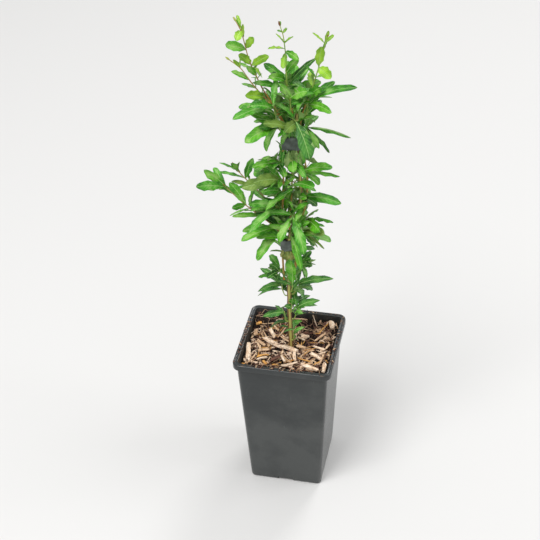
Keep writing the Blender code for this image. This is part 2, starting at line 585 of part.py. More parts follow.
def build_tie(name, foot, head, limbs, collection):
    """A turn of soft tape drawn round the stems: an open sleeve with a thin wall."""
    middle = (foot + head) / 2
    loops = {-1: (outline_round(limbs, foot - 1, middle + 1), foot), 1: (outline_round(limbs, middle - 1, head + 1), head)}
    bm = bmesh.new()
    bmesh.ops.create_cone(bm, cap_ends=False, segments=TIE_SIDES, radius1=1, radius2=1, depth=1)
    for vert in bm.verts:
        corners, height = loops[1 if vert.co.z > 0 else -1]
        place = corners[round(math.atan2(vert.co.y, vert.co.x) / math.tau * TIE_SIDES) % TIE_SIDES]
        vert.co = (place[0], place[1], height)
    band = object_from(bm, name, collection, "tie_tape")
    wall = band.modifiers.new("wall", "SOLIDIFY")
    wall.thickness = TIE_WALL * MM
    wall.offset = 1
    apply_modifiers(band)


def twig_path_of_spray(spray, limbs, turn, lift):
    """A short stem that leaves its limb squarely and curves up: a quadratic Bezier curve."""
    foot, out = foot_on(limbs, spray.limb, spray.foot + lift, spray.bearing + turn)
    start = foot + out * 1.3
    knee = foot + out * spray.reach * 0.6
    tip = foot + bearing_vector(spray.bearing + turn) * spray.reach + UP * spray.rise
    t = np.linspace(0, 1, TWIG_POINTS)[:, None]
    return np.vstack([foot, (1 - t) ** 2 * start + 2 * t * (1 - t) * knee + t**2 * tip])


def twig_path_of_shoot(shoot, limbs):
    """A long stem that carries on from the tip of its limb, one gap clear."""
    path, _ = limbs[shoot.limb]
    foot = path[-1] + unit(path[-1] - path[-2]) * (GAP + 0.1)
    return smooth_path([foot, *[placed(p) for p in shoot.points]], LIMB_STEP)


def places_on_stem(path, shares):
    """(places, directions, radii) at these shares of a stem, the last of them just short of its tip."""
    lengths = np.concatenate([[0], np.cumsum(np.linalg.norm(np.diff(path, axis=0), axis=1))])
    wanted = np.clip(np.asarray(shares) * lengths[-1], 1.5, lengths[-1] - 1.2)
    places, ahead, behind = (
        np.stack([np.interp(wanted + shift, lengths, path[:, k]) for k in range(3)], axis=1) for shift in (0, 1, -1))
    ways = ahead - behind
    return places, ways / np.linalg.norm(ways, axis=1)[:, None], np.interp(wanted, lengths, twig_radii(path))


Leaf = namedtuple("Leaf", "root way normal down length width droop")


def leaf_on(root, stem, side, length, width, spread, droop, roll):
    """A leaf that leaves its stem at the spread angle, with its upper face turned to the tip and the sky."""
    way = unit(math.cos(spread) * stem + math.sin(spread) * side)
    facing = unit(stem - (stem @ way) * way) + 0.9 * (UP - (UP @ way) * way)
    normal = unit(facing - (facing @ way) * way)
    sag = -UP + 0.25 * side
    down = unit(sag - (sag @ way) * way)
    droop = min(droop, 0.9 * math.acos(max(-1.0, min(1.0, -way[2]))))
    return Leaf(root, way, rolled(normal, way, roll), down, length, width, droop)


def leaf_to(root, bearing, tilt, distance, width, droop, roll):
    """A leaf whose tip lies from its root at this bearing, tilt and distance, and that arches on the way."""
    level = bearing_vector(bearing)
    start = tilt + droop / 2
    way = math.cos(start) * level + math.sin(start) * UP
    down = math.sin(start) * level - math.cos(start) * UP
    length = distance * (droop / 2) / math.sin(droop / 2)
    bearing_of_light, height_of_light = LIGHT
    light = bearing_vector(bearing_of_light) * math.cos(math.radians(height_of_light))
    light = light + UP * math.sin(math.radians(height_of_light))
    normal = unit(light - (light @ way) * way)
    return Leaf(root, way, rolled(normal, way, roll), down, length, width, droop)


def rolled(normal, way, roll):
    return math.cos(roll) * normal + math.sin(roll) * np.cross(way, normal)


def leaf_points(leaf, t, across, lift):
    """Points on a leaf whose midrib bends evenly towards the ground, at shares of its length and half width."""
    angle = leaf.droop * t
    centre = leaf.length / leaf.droop * (np.sin(angle)[:, None] * leaf.way + (1 - np.cos(angle))[:, None] * leaf.down)
    axis = np.cross(leaf.way, leaf.down)

    def turned(vector):
        cos, sin = np.cos(angle)[:, None], np.sin(angle)[:, None]
        return vector * cos + np.cross(axis, vector) * sin + axis * (axis @ vector) * (1 - cos)

    beside = turned(np.cross(leaf.normal, leaf.way))
    above = turned(leaf.normal)
    return leaf.root + centre + beside * (across * leaf.width / 2)[:, None] + above * lift[:, None]


def leaf_bmesh(leaf, swell=0.0, first=0.0):
    """A thin closed leaf: a sphere of three sides, drawn out into a drooping blade over a keeled midrib.

    swell grows it on every side, and first leaves out that share of its length from the root.
    """
    bm = bmesh.new()
    bmesh.ops.create_uvsphere(bm, u_segments=3, v_segments=len(LEAF_RINGS) - 1, radius=1)
    bm.verts.ensure_lookup_table()
    places = np.array([v.co for v in bm.verts])
    ring = np.rint(np.arccos(np.clip(places[:, 2], -1, 1)) / math.pi * (len(LEAF_RINGS) - 1)).astype(int)
    t, wide = np.array(LEAF_RINGS)[ring].T
    side = np.rint(np.arctan2(places[:, 1], places[:, 0]) / (math.tau / 3)).astype(int) * (wide > 0)
    across = side * (wide + 2 * swell / leaf.width)
    depth = leaf.length * LEAF_DEPTH
    is_keel = (side == 0) & (wide > 0)
    lift = np.where(is_keel, -depth * np.minimum(1.0, 0.5 + wide) - swell, swell * (side != 0))
    for vert, place in zip(bm.verts, leaf_points(leaf, first + (1 - first) * t, across, lift)):
        vert.co = place
    face_outwards(bm)
    return bm


def leaf_tree(leaf, first=0.0):
    bm = leaf_bmesh(leaf, CLEAR, first)
    tree = BVHTree.FromBMesh(bm)
    bm.free()
    return tree


def in_the_pot(leaf):
    """True where the leaf would reach into the pot's rim or its filling."""
    t = np.linspace(0.15, 1, 6)
    for across in (-0.8, 0.0, 0.8):
        places = leaf_points(leaf, t, np.full(6, across), np.zeros(6))
        out = np.abs(places[:, :2]).max(axis=1)
        over_rim = (out > RIM_WIDTH / 2 - RIM_ZONE) & (out < RIM_WIDTH / 2 + 2)
        if (over_rim & (places[:, 2] < POT_HEIGHT + 1.5)).any() or (places[:, 2] < MULCH_TOP + 5.0).any():
            return True
    return False


class Crown:
    """The limbs, ties, stems and leaves that stand so far, so that a new leaf can be tested against them."""

    def __init__(self, fixed_trees):
        self.fixed = fixed_trees
        self.stems = []
        self.leaves = []

    def has_room_for_stem(self, tree):
        return not any(tree.overlap(other) for other in (*self.fixed, *[t for _, t in self.stems]))

    def add_if_clear(self, leaf, owner):
        """Adds the leaf, unless it would touch a limb, another mass or the blade of a leaf of its own."""
        if in_the_pot(leaf):
            return False
        whole, blade = leaf_tree(leaf), leaf_tree(leaf, 0.4)
        if any(whole.overlap(tree) for tree in self.fixed):
            return False
        if any(whole.overlap(tree) for name, tree in self.stems if name != owner):
            return False
        for name, other, other_whole, other_blade in self.leaves:
            if np.linalg.norm(other.root - leaf.root) > other.length + leaf.length:
                continue
            if (blade.overlap(other_blade) if name == owner else whole.overlap(other_whole)):
                return False
        self.leaves.append((owner, leaf, whole, blade))
        return True


def add_set_leaves(mass, path, crown, number):
    """The leaves with given places. One that isn't clear tries a few other ways to stand, or is left out."""
    draw = random.Random(number)
    droop = math.radians(SHOOT_DROOP if isinstance(mass, Shoot) else SPRAY_DROOP)
    for share, bearing, tilt, distance, width, roll in mass.leaves:
        (place,), (stem,), (radius,) = places_on_stem(path, [share])
        roll += draw.uniform(-28, 28)
        for turn_by, tilt_by, size in LEAF_TRIES:
            way = bearing_vector(bearing + turn_by)
            side = unit(way - (way @ stem) * stem)
            leaf = leaf_to(place - side * radius * 0.7, bearing + turn_by, math.radians(tilt + tilt_by),
                           distance * size, width * SET_WIDTH * size, droop, math.radians(roll))
            if crown.add_if_clear(leaf, mass.name):
                break


def add_grown_leaves(mass, path, crown, number):
    """Opposite pairs of leaves, each pair a quarter turn on from the last, shorter towards the tip.

    Where the mass has set leaves, these grow on its far side only.
    """
    draw = random.Random(1000 + number)
    is_shoot = isinstance(mass, Shoot)
    spread_angle, droop_angle = (SHOOT_SPREAD, SHOOT_DROOP) if is_shoot else (SPRAY_SPREAD, SPRAY_DROOP)
    last = 0.75 if is_shoot else 1.0
    places, ways, radii = places_on_stem(path, np.linspace(0.3, last, mass.pairs) if mass.pairs > 1 else [last])
    start_turn = draw.uniform(0, math.pi)
    for index in range(mass.pairs):
        place, stem, radius = places[index], ways[index], radii[index]
        level = unit(np.cross(stem, UP)) if abs(stem[2]) < 0.98 else bearing_vector(0)
        rising = np.cross(level, stem)
        along = index / max(1, mass.pairs - 1)
        for member in (0, 1):
            turn = start_turn + math.pi * member + math.pi / 2 * index + draw.uniform(-0.3, 0.3)
            length = mass.leaf * (1 - 0.25 * along) * draw.uniform(0.86, 1.08)
            width = length * LEAF_SLENDERNESS * draw.uniform(0.88, 1.15)
            spread = math.radians(spread_angle * (1 - 0.35 * along) + draw.uniform(-9, 9))
            droop = math.radians(droop_angle * draw.uniform(0.7, 1.3))
            roll = draw.uniform(-0.35, 0.35)
            for turn_by, spread_by, size in LEAF_TRIES:
                angle = turn + math.radians(turn_by)
                side = math.cos(angle) * level + math.sin(angle) * rising
                if mass.leaves and side @ bearing_vector(270) > 0.1:
                    continue
                leaf = leaf_on(place - side * radius * 0.7, stem, side, length * size, width * size,
                               spread + math.radians(spread_by), droop, roll)
                if crown.add_if_clear(leaf, mass.name):
                    break


def spray_path_in_room(spray, limbs, crown):
    """The spray's stem at the first bearing and height, going out from its own, where it is clear."""
    for turn, lift in SPRAY_TRIES:
        path = twig_path_of_spray(spray, limbs, turn, lift)
        if crown.has_room_for_stem(tube_tree(path, twig_radii(path), 4)):
            break
    return path


def twig_radii(path):
    return np.linspace(TWIG_RADIUS, TWIG_TIP_RADIUS, len(path))


def tube_tree(path, radii, sides):
    """The surface of a limb or stem, grown for the tests, as open rings joined by squares."""
    angles = np.arange(sides) * math.tau / sides
    points, faces = [], []
    for place, way, radius in zip(path, np.gradient(path, axis=0), radii):
        beside = unit(np.cross(way, (0.3, 0.9, 0.1)))
        above = unit(np.cross(way, beside))
        ring = (radius + CLEAR) * (np.cos(angles)[:, None] * beside + np.sin(angles)[:, None] * above)
        points.extend((place + ring).tolist())
    for start in range(0, len(points) - sides, sides):
        for k in range(sides):
            after = (k + 1) % sides
            faces.append((start + k, start + after, start + sides + after, start + sides + k))
    return BVHTree.FromPolygons(points, faces)


def build_masses(collection, limbs, fixed_trees):
    """Every shoot and spray as one fused solid: its stem with its leaves."""
    crown = Crown(fixed_trees)
    masses = (*SHOOTS, *SPRAYS)
    paths = {}
    for mass in masses:
        if isinstance(mass, Shoot):
            paths[mass.name] = twig_path_of_shoot(mass, limbs)
        else:
            paths[mass.name] = spray_path_in_room(mass, limbs, crown)
        crown.stems.append((mass.name, tube_tree(paths[mass.name], twig_radii(paths[mass.name]), 4)))
    for number, mass in enumerate(masses):
        add_set_leaves(mass, paths[mass.name], crown, number)
    for number, mass in enumerate(masses):
        add_grown_leaves(mass, paths[mass.name], crown, number)
    for mass in masses:
        path = paths[mass.name]
        stem = limb_object(mass.name, path, twig_radii(path), 4, collection, "foliage")
        blades = new_collection(f"{mass.name}_leaves")
        for index, leaf in enumerate(leaf for owner, leaf, _, _ in crown.leaves if owner == mass.name):
            object_from(leaf_bmesh(leaf), f"{mass.name}_leaf_{index}", blades)
        fuse(stem, blades)


def main():
    for obj in list(bpy.data.objects):
        bpy.data.objects.remove(obj)
    shrub = new_collection("potted_pomegranate_shrub")
    cutters = new_collection("cutters")
    build_pot(shrub, cutters)
    build_potting_mix(shrub)
    build_mulch(shrub)
    limbs = build_limbs(shrub)
    for tie in TIES:
        build_tie(*tie, limbs, shrub)
    bpy.context.view_layer.update()
    fixed_trees = [tube_tree(path, radii, LIMB_SIDES) for path, radii in limbs.values()]
    fixed_trees += [tree_of(obj) for obj in shrub.objects if obj.name.startswith("tie")]
    build_masses(shrub, limbs, fixed_trees)


main()
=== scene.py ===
"""A young pomegranate shrub in a tall square nursery pot: slim tied stems, glossy narrow leaves, wood-chip mulch.

It is built in the order in which it was put together: the pot, its filling, the mulch, the stems, the ties,
and then the twigs and leaves. The last section is the studio that it is looked at in.
Lengths are millimetres in the tables and become metres in the meshes.
"""

import math
import random
from collections import namedtuple

import bmesh
import bpy
import numpy as np
from mathutils import Matrix
from mathutils.bvhtree import BVHTree


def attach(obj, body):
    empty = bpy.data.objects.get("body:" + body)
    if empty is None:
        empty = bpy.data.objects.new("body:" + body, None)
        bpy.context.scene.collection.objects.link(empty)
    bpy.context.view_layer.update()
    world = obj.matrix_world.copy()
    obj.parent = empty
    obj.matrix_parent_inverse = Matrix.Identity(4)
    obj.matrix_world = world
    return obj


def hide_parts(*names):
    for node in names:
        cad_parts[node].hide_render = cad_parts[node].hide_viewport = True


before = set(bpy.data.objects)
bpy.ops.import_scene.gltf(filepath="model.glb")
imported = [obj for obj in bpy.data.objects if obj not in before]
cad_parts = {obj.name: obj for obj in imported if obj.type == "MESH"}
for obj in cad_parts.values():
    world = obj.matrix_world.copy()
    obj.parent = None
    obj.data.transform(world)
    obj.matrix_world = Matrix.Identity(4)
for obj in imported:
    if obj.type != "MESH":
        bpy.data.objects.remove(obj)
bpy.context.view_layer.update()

# The pot: one injection moulding in dark recycled polypropylene, with a satin skin that is scuffed pale
# along its lip. The lip turns out and hangs as a skirt, and the flat base has four round drain holes
# and a notch in the middle of each side.
MM = 0.001
BASE_HALF, BODY_TOP_HALF, POT_HEIGHT, WALL = 47.3, 58.0, 206.0, 1.6
BODY_CORNER, FOOT_ROUNDING = 6.0, 3.0
NOTCH_WIDTH, NOTCH_HEIGHT, NOTCH_DEPTH = 20.0, 4.5, 8.0
HOLE_RADIUS, HOLE_OFFSET = 5.0, 24.0
INSIDE_TOP = 204.6  # the height at which the dusty inside of the wall begins
POT_SHARP = math.radians(38)


def linear(hex_colour):
    """An sRGB colour such as "3c7a2b" as linear red, green, blue and alpha 1."""
    srgb = np.array([int(hex_colour[k:k + 2], 16) for k in (0, 2, 4)]) / 255
    return (*np.where(srgb <= 0.04045, srgb / 12.92, ((srgb + 0.055) / 1.055) ** 2.4).tolist(), 1.0)


def feed(node, inputs):
    """Gives a node's sockets their values. Another node, or one of its sockets, is linked instead."""
    for name, value in inputs.items():
        if isinstance(value, bpy.types.Node):
            value = next(socket for socket in value.outputs if socket.enabled)
        if isinstance(value, bpy.types.NodeSocket):
            node.id_data.links.new(value, node.inputs[name])
        else:
            node.inputs[name].default_value = value


def add(tree, kind, inputs=None, stops=(), **settings):
    """Adds a node with its settings and what its sockets get. The stops of a ramp are (place, hex colour)."""
    node = tree.nodes.new("ShaderNode" + kind)
    for name, value in settings.items():
        setattr(node, name, value)
    for k, (place, colour) in enumerate(stops):
        element = node.color_ramp.elements[k] if k < 2 else node.color_ramp.elements.new(place)
        element.position, element.color = place, linear(colour)
    feed(node, inputs or {})
    return node


def new_material(name, colour, roughness, ior):
    """A material, its tree and its Principled shader, with a plain colour, a roughness and an IOR."""
    made = bpy.data.materials.new(name)
    made.use_nodes = True
    shader = made.node_tree.nodes["Principled BSDF"]
    feed(shader, {"Base Color": linear(colour), "Roughness": roughness, "IOR": ior})
    return made, made.node_tree, shader


def blotched(name, colour, roughness, ior, blotches, stops, relief=()):
    """A material whose colour runs through the stops of a ramp in blotches, by a noise in the object's own place.

    relief is (the inputs of a finer noise, or none for the same one, the strength, the distance).
    """
    made, tree, shader = new_material(name, colour, roughness, ior)
    where = add(tree, "TexCoord").outputs["Object"]
    noise = add(tree, "TexNoise", {"Vector": where, **blotches})
    feed(shader, {"Base Color": add(tree, "ValToRGB", {"Fac": noise}, stops)})
    if relief:
        finer, strength, distance = relief
        noise = add(tree, "TexNoise", {"Vector": where, **finer}) if finer else noise
        feed(shader, {"Normal": add(tree, "Bump", {"Height": noise, "Strength": strength, "Distance": distance})})
    return made


def grid_faces(rows, columns, wrap=False):
    """The squares between neighbouring rows and columns of points numbered row by row."""
    row, column = np.meshgrid(np.arange(rows - 1), np.arange(columns if wrap else columns - 1), indexing="ij")
    after = (column + 1) % columns
    return np.stack([row * columns + column, row * columns + after,
                     (row + 1) * columns + after, (row + 1) * columns + column], axis=-1).reshape(-1, 4)


def closed_rings(rows, sides, count=1):
    """The faces of closed forms made of rings: the squares between the rings of each, then a face over each end.

    The forms' points are numbered one form after another, ring by ring.
    """
    first = (np.arange(count) * rows * sides)[:, None]
    ring = np.arange(sides)
    return [*(grid_faces(rows, sides, wrap=True)[None] + first[..., None]).reshape(-1, 4).tolist(),
            *(first + ring[::-1]).tolist(), *(first + ring + (rows - 1) * sides).tolist()]


def linked(name, data):
    """A new object of this name and data, in the scene."""
    obj = bpy.data.objects.new(name, data)
    bpy.context.scene.collection.objects.link(obj)
    return obj


def piece(name, form, materials, nodes=(), face_slots=None, smooth=True):
    """A finished piece from (points in millimetres, faces and maybe a UV for each point).

    It rides with the plant and stands for the named CAD nodes.
    """
    points, faces, *uv = form
    mesh = bpy.data.meshes.new(name)
    mesh.from_pydata((np.asarray(points) * MM).tolist(), [], [list(map(int, face)) for face in faces])
    for made in materials:
        mesh.materials.append(made)
    if face_slots is not None:
        mesh.polygons.foreach_set("material_index", np.asarray(face_slots, np.int32))
    mesh.polygons.foreach_set("use_smooth", np.full(len(mesh.polygons), smooth))
    if uv:
        corners = np.empty(len(mesh.loops), np.int32)
        mesh.loops.foreach_get("vertex_index", corners)
        mesh.uv_layers.new(name="UVMap").data.foreach_set("uv", np.asarray(uv[0], np.float32)[corners].ravel())
    obj = linked(name, mesh)
    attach(obj, "root")
    if nodes:
        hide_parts(*nodes)
    return obj


def square_loft(profile, steps=8):
    """A profile of (half width, corner radius, height) carried round a square with rounded corners.

    Along a corner the outward direction turns a quarter while the corner's centre stays. Along a side the
    direction stays while the place goes evenly to the next corner. Each point is the centre, half width less
    radius out along both axes, plus the radius outwards.
    """
    share = np.arange(2 * steps) / steps
    start = np.arange(4)[:, None] * math.pi / 2
    turn = (start + np.minimum(share, 1) * math.pi / 2).ravel()
    corner = np.stack([np.cos(start + math.pi / 4), np.sin(start + math.pi / 4)]) * math.sqrt(2)
    onward = np.stack([-corner[1], corner[0]]) - corner
    centre_x, centre_y = (corner + onward * np.maximum(share - 1, 0)).reshape(2, -1)
    half, radius, height = (np.array(part, float)[:, None] for part in zip(*profile))
    points = np.stack([(half - radius) * centre_x + radius * np.cos(turn),
                       (half - radius) * centre_y + radius * np.sin(turn), height + 0 * turn], axis=-1)
    return points.reshape(-1, 3), closed_rings(len(profile), len(turn))


def body_half(height):
    return BASE_HALF + (BODY_TOP_HALF - BASE_HALF) * height / POT_HEIGHT


def foot_of_pot(inset, turns):
    """The quarter round between the base and the wall, as seen from outside or, inset by the wall, from inside."""
    return [(BASE_HALF - inset - FOOT_ROUNDING * (1 - math.sin(turn)),
             BODY_CORNER - inset - FOOT_ROUNDING * (1 - math.sin(turn)),
             inset + FOOT_ROUNDING * (1 - math.cos(turn))) for turn in turns]


def pot_profile():
    """The moulding's section: base, foot, body, the skirt of the lip, its crown, and down the inside."""
    lip = [(body_half(196), 196.0), (body_half(203), 203.0), (58.6, 204.3), (60.4, 204.3), (60.9, 203.7), (60.9, 198.5),
           (61.2, 198.05), (61.8, 197.9), (62.3, 198.1), (62.5, 198.6), (62.5, 201.5), (62.45, 204.7), (62.15, 205.5),
           (61.5, 205.95), (60.8, 206.0), (60.1, 205.65), (59.2, 205.3), (58.4, 205.3), (57.8, 205.7), (57.2, 205.85),
           (56.6, 205.6), (body_half(INSIDE_TOP) - WALL, INSIDE_TOP)]
    return [*foot_of_pot(0, np.linspace(0, math.pi / 2, 5)),
            *[(body_half(z), BODY_CORNER, z) for z in (12, 30, 60, 90, 120, 150, 180, 194)],
            *[(half, half - (BODY_TOP_HALF - BODY_CORNER), z) for half, z in lip],
            *[(body_half(z) - WALL, BODY_CORNER - WALL, z) for z in (196, 180, 120, 60, 12, 5)],
            *foot_of_pot(WALL, np.linspace(math.pi / 2, 0, 4))]


def cut(obj, cutter):
    """Takes the cutter's bmesh, in millimetres, out of the object and removes the cutter."""
    bmesh.ops.scale(cutter, vec=(MM, MM, MM), verts=cutter.verts)
    tool = linked("cutter", bpy.data.meshes.new("cutter"))
    cutter.to_mesh(tool.data)
    cutter.free()
    opening = obj.modifiers.new("opening", "BOOLEAN")
    opening.operation, opening.object, opening.solver = "DIFFERENCE", tool, "EXACT"
    bpy.context.view_layer.update()
    finished = bpy.data.meshes.new_from_object(obj.evaluated_get(bpy.context.evaluated_depsgraph_get()))
    obj.modifiers.clear()
    obj.data = finished
    bpy.data.objects.remove(tool)


# Moulded polypropylene: a dark neutral grey with a satin skin. A fine grain about 0.6 mm across breaks its
# gloss, dust lies in faint drifts, a painted reflection of the floor makes the wall lighter towards the foot,
# and the lip's edges are rubbed pale and soiled.
polypropylene, tree, shader = new_material("moulded_polypropylene", "45484a", 0.42, 1.49)
where = add(tree, "TexCoord").outputs["Object"]
height = add(tree, "SeparateXYZ", {"Vector": where}).outputs["Z"]
drift = add(tree, "TexNoise", {"Vector": where, "Scale": 22.0, "Detail": 4.0, "Roughness": 0.6})
# Painted reflection: the wall is lighter below this height, as if it mirrored the pale floor. The drifts make the edge
# of this lighter part uneven.
painted_floor_reflection = add(tree, "MapRange", {"Value": height, "From Min": 0.14, "From Max": 0.09, "To Max": 0.26})
dust_and_reflection = add(tree, "Math", {0: drift, 1: painted_floor_reflection}, operation="ADD")
colour = add(tree, "ValToRGB", {"Fac": dust_and_reflection}, ((0.3, "2b2f30"), (0.52, "333737"), (0.80, "464948")))
on_lip = add(tree, "MapRange", {"Value": height, "From Min": 0.1975, "From Max": 0.2062})
for tint, spots, low, high in (
        ("7f7c75", {"Scale": 190.0, "Detail": 6.0, "Roughness": 0.75}, 0.56, 0.68),
        ("6d523a", {"Scale": 48.0, "Detail": 7.0, "Roughness": 0.8}, 0.52, 0.60)):
    spots = add(tree, "TexNoise", {"Vector": where, **spots})
    spots = add(tree, "Math", {0: spots, 1: on_lip}, operation="MULTIPLY")
    spots = add(tree, "MapRange", {"Value": spots, "From Min": low, "From Max": high})
    colour = add(tree, "Mix", {"Factor": spots, "A": colour, "B": linear(tint)}, data_type="RGBA")
streaks = add(tree, "Mapping", {"Vector": where, "Scale": (260.0, 260.0, 16.0)})
streaks = add(tree, "TexNoise", {"Vector": streaks, "Scale": 1.0, "Detail": 3.0})
gloss = add(tree, "MapRange", {"Value": streaks, "To Min": 0.23, "To Max": 0.29})
grain = add(tree, "TexNoise", {"Vector": where, "Scale": 1600.0, "Detail": 2.0})
relief = add(tree, "Bump", {"Height": grain, "Strength": 0.10, "Distance": 0.0002})
feed(shader, {"Base Color": colour, "Roughness": gloss, "Normal": relief})

# Inside, above the filling, the same plastic is dull with dried soil.
dusty_plastic = blotched("dusty_polypropylene", "3a3733", 0.72, 1.49, {"Scale": 70.0, "Detail": 7.0, "Roughness": 0.75},
                         ((0.40, "2b2c2c"), (0.54, "403c37"), (0.68, "75624e")))

profile = pot_profile()
points, faces = square_loft(profile)
first_inside = [height for _, _, height in profile].index(INSIDE_TOP)
row_of_face = np.repeat(np.arange(len(profile) - 1), (len(faces) - 2) // (len(profile) - 1))
face_slots = [*(row_of_face >= first_inside).astype(int), 0, 1]
pot = piece("nursery_pot", (points, faces), [polypropylene, dusty_plastic], ["pot"], face_slots)
openings = bmesh.new()
for side in (-1, 1):
    for size, place in (((NOTCH_DEPTH, NOTCH_WIDTH, 2 * NOTCH_HEIGHT), (side * BASE_HALF, 0, 0)),
                        ((NOTCH_WIDTH, NOTCH_DEPTH, 2 * NOTCH_HEIGHT), (0, side * BASE_HALF, 0))):
        made = bmesh.ops.create_cube(openings, size=1)["verts"]
        bmesh.ops.scale(openings, vec=size, verts=made)
        bmesh.ops.translate(openings, vec=place, verts=made)
    for other in (-1, 1):
        made = bmesh.ops.create_cone(openings, cap_ends=True, segments=32, radius1=HOLE_RADIUS, radius2=HOLE_RADIUS,
                                     depth=4 * WALL)["verts"]
        bmesh.ops.translate(openings, vec=(side * HOLE_OFFSET, other * HOLE_OFFSET, 0), verts=made)
cut(pot, openings)
pot.data.set_sharp_from_angle(angle=POT_SHARP)

# The potting mix: fine composted bark, near black and damp, that fills the pot to below its lip. It shows
# only through the drain holes and between the chips.
potting_bark = blotched("composted_bark", "20160f", 0.92, 1.46, {"Scale": 420.0, "Detail": 5.0, "Roughness": 0.7},
                        ((0.36, "0e0906"), (0.55, "2a1c12"), (0.72, "4a3422")), (None, 0.9, 0.0015))
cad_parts["potting_mix"].material_slots[0].material = potting_bark

# The mulch: shredded prunings strewn over the mix. Flat split chips 6 to 26 mm long lie every way over dark
# crumbs and thin fibres. The filling is heaped in one corner and sinks round the stem. In dark patches
# it has fewer chips, and most of them are dark brown.
MULCH_LOW, MULCH_EDGE, MULCH_CORNER = 186.0, 54.6, 5.0
CHIPS_LIE_OVER = 2.2  # how far the bed's top is under the surface that the chips lie on
BED_STEPS = 97
STEM_FOOT, STEM_CLEAR = (1.0, 0.0), 4.2  # the second is how far from the stem's axis the chips keep
STATIONS, CORNERS = 5, 6  # of a chip
DARK_PATCHES = ((-48, 48, 15), (25, 24, 8), (14, 40, 8), (-53, 6, 6), (-14, 20, 5), (-20, -52, 8), (44, 6, 5))
BED_HEIGHT, SLOPE_ACROSS, SLOPE_BACK = 195.2, 0.032, 0.03
HUMPS, HUMP_LENGTH, HUMP_HEIGHT = 14, 26, 1.9
HEAP_PLACE, HEAP_HEIGHT, HEAP_SPREAD = (-50, 52), 6.5, 450
DIP_DEPTH, DIP_SPREAD = 3.4, 55
STREWN_HALF, STRANDS_HALF = 54, 53.5
STRAND_POINTS, STRAND_SIDES, STRANDS_CLEAR = 7, 3, 4.5  # the last is how far from the pot's axis strands keep
rng = np.random.default_rng(41)
hump_waves = rng.normal(0, 1, (HUMPS, 2)) * (2 * math.pi / HUMP_LENGTH)
hump_phases = rng.uniform(0, math.tau, HUMPS)


def bell(x, y, place, spread):
    """A bell-shaped rise at a place: 1 there, and e to the power of minus the distance squared over the spread."""
    return np.exp(-((x - place[0]) ** 2 + (y - place[1]) ** 2) / spread)


def mulch_height(x, y):
    """The top of the bed: a plane that rises to one side, with low humps (a sum of seeded waves about 26 mm long).

    A bell-shaped heap stands in one back corner, and a bell-shaped dip round the stem.
    """
    humps = np.sin(x[..., None] * hump_waves[:, 0] + y[..., None] * hump_waves[:, 1] + hump_phases).sum(-1) / HUMPS
    return (BED_HEIGHT + SLOPE_ACROSS * x + SLOPE_BACK * np.maximum(y, 0) + HUMP_HEIGHT * humps
            + HEAP_HEIGHT * bell(x, y, HEAP_PLACE, HEAP_SPREAD) - DIP_DEPTH * bell(x, y, STEM_FOOT, DIP_SPREAD))


def covered(x, y):
    """How much of the ground chips cover here: 1, less a bell for each dark patch (x, y, half its width)."""
    return np.clip(1 - sum(bell(x, y, place, 2 * size ** 2) for *place, size in DARK_PATCHES), 0, 1)


def drawn_in(x, y, half, corner):
    """Points of a square, drawn in to the arcs of its rounded corners."""
    a, b = (np.clip((np.abs(v) - half + corner) / corner, 0, 1) for v in (x, y))
    return [np.where((a > 0) & (b > 0), np.sign(v) * (half - corner + corner * p * np.sqrt(1 - q * q / 2)), v)
            for v, p, q in ((x, a, b), (y, b, a))]


# The bed is the same composted bark, as a lumpy slab under the chips: a square grid with its corners drawn in,
# closed underneath by the same grid set level.
steps = np.linspace(-MULCH_EDGE, MULCH_EDGE, BED_STEPS)
x, y = drawn_in(*np.meshgrid(steps, steps, indexing="xy"), MULCH_EDGE, MULCH_CORNER)
lumps = rng.normal(0, 0.5, x.shape)
lumps = lumps + sum(np.roll(lumps, by, axis) for axis in (0, 1) for by in (1, -1)) / 3
top = np.stack([x, y, mulch_height(x, y) - CHIPS_LIE_OVER + lumps], -1).reshape(-1, 3)
under = np.stack([x, y, np.full(x.shape, MULCH_LOW)], -1).reshape(-1, 3)
sheet = grid_faces(BED_STEPS, BED_STEPS)
number = np.arange(x.size).reshape(x.shape)
border = np.concatenate([number[0], number[1:, -1], number[-1, -2::-1], number[-2:0:-1, 0]])
after = np.roll(border, -1)
sides = np.stack([border, after, after + x.size, border + x.size], -1)[:, ::-1]
piece("mulch_bed", (np.concatenate([top, under]), np.concatenate([sheet, sheet[:, ::-1] + x.size, sides])),
      [potting_bark])


def split_chips(length, width, thickness, draw, torn=1.0):
    """Chips lying along X about the origin: five stations of six corners each.

    A station's corners lie on a flattened ring with uneven radii. The ends are narrower and skewed, by how torn
    the wood is, and each chip is bent and twisted a little along its length.
    """
    n = len(length)
    length, width, thickness = (size[:, None, None] for size in (length, width, thickness))
    along = np.array([-1, -0.62, 0, 0.62, 1])[None, :, None]
    turn = (np.arange(CORNERS) / CORNERS * math.tau + 0.5)[None, None] + draw.uniform(-0.22, 0.22, (n, 1, CORNERS))
    radius = draw.uniform(0.78, 1.12, (n, STATIONS, CORNERS))
    taper = np.stack([1 - torn * draw.uniform(0.05, 0.65, n), *[draw.uniform(0.85, 1.08, n) for _ in range(3)],
                      1 - torn * draw.uniform(0.1, 0.7, n)], 1)[:, :, None]
    side = np.sign(np.cos(turn)) * np.abs(np.cos(turn)) ** 0.5 * radius * taper
    lift = np.sign(np.sin(turn)) * np.abs(np.sin(turn)) ** 0.5 * radius * (0.5 + 0.5 * taper)
    skew = (np.abs(along) == 1) * torn * draw.uniform(-0.16, 0.16, radius.shape)
    x = (along / 2 + skew) * length
    twist = along * draw.uniform(-0.35, 0.35, (n, 1, 1))
    y0, z0 = side * width / 2, lift * thickness / 2
    y = y0 * np.cos(twist) - z0 * np.sin(twist) + draw.uniform(-0.05, 0.05, (n, 1, 1)) * length * along ** 2
    z = y0 * np.sin(twist) + z0 * np.cos(twist) + draw.uniform(-0.06, 0.06, (n, 1, 1)) * length * along ** 2
    return np.stack([x + 0 * y, y, z], -1)


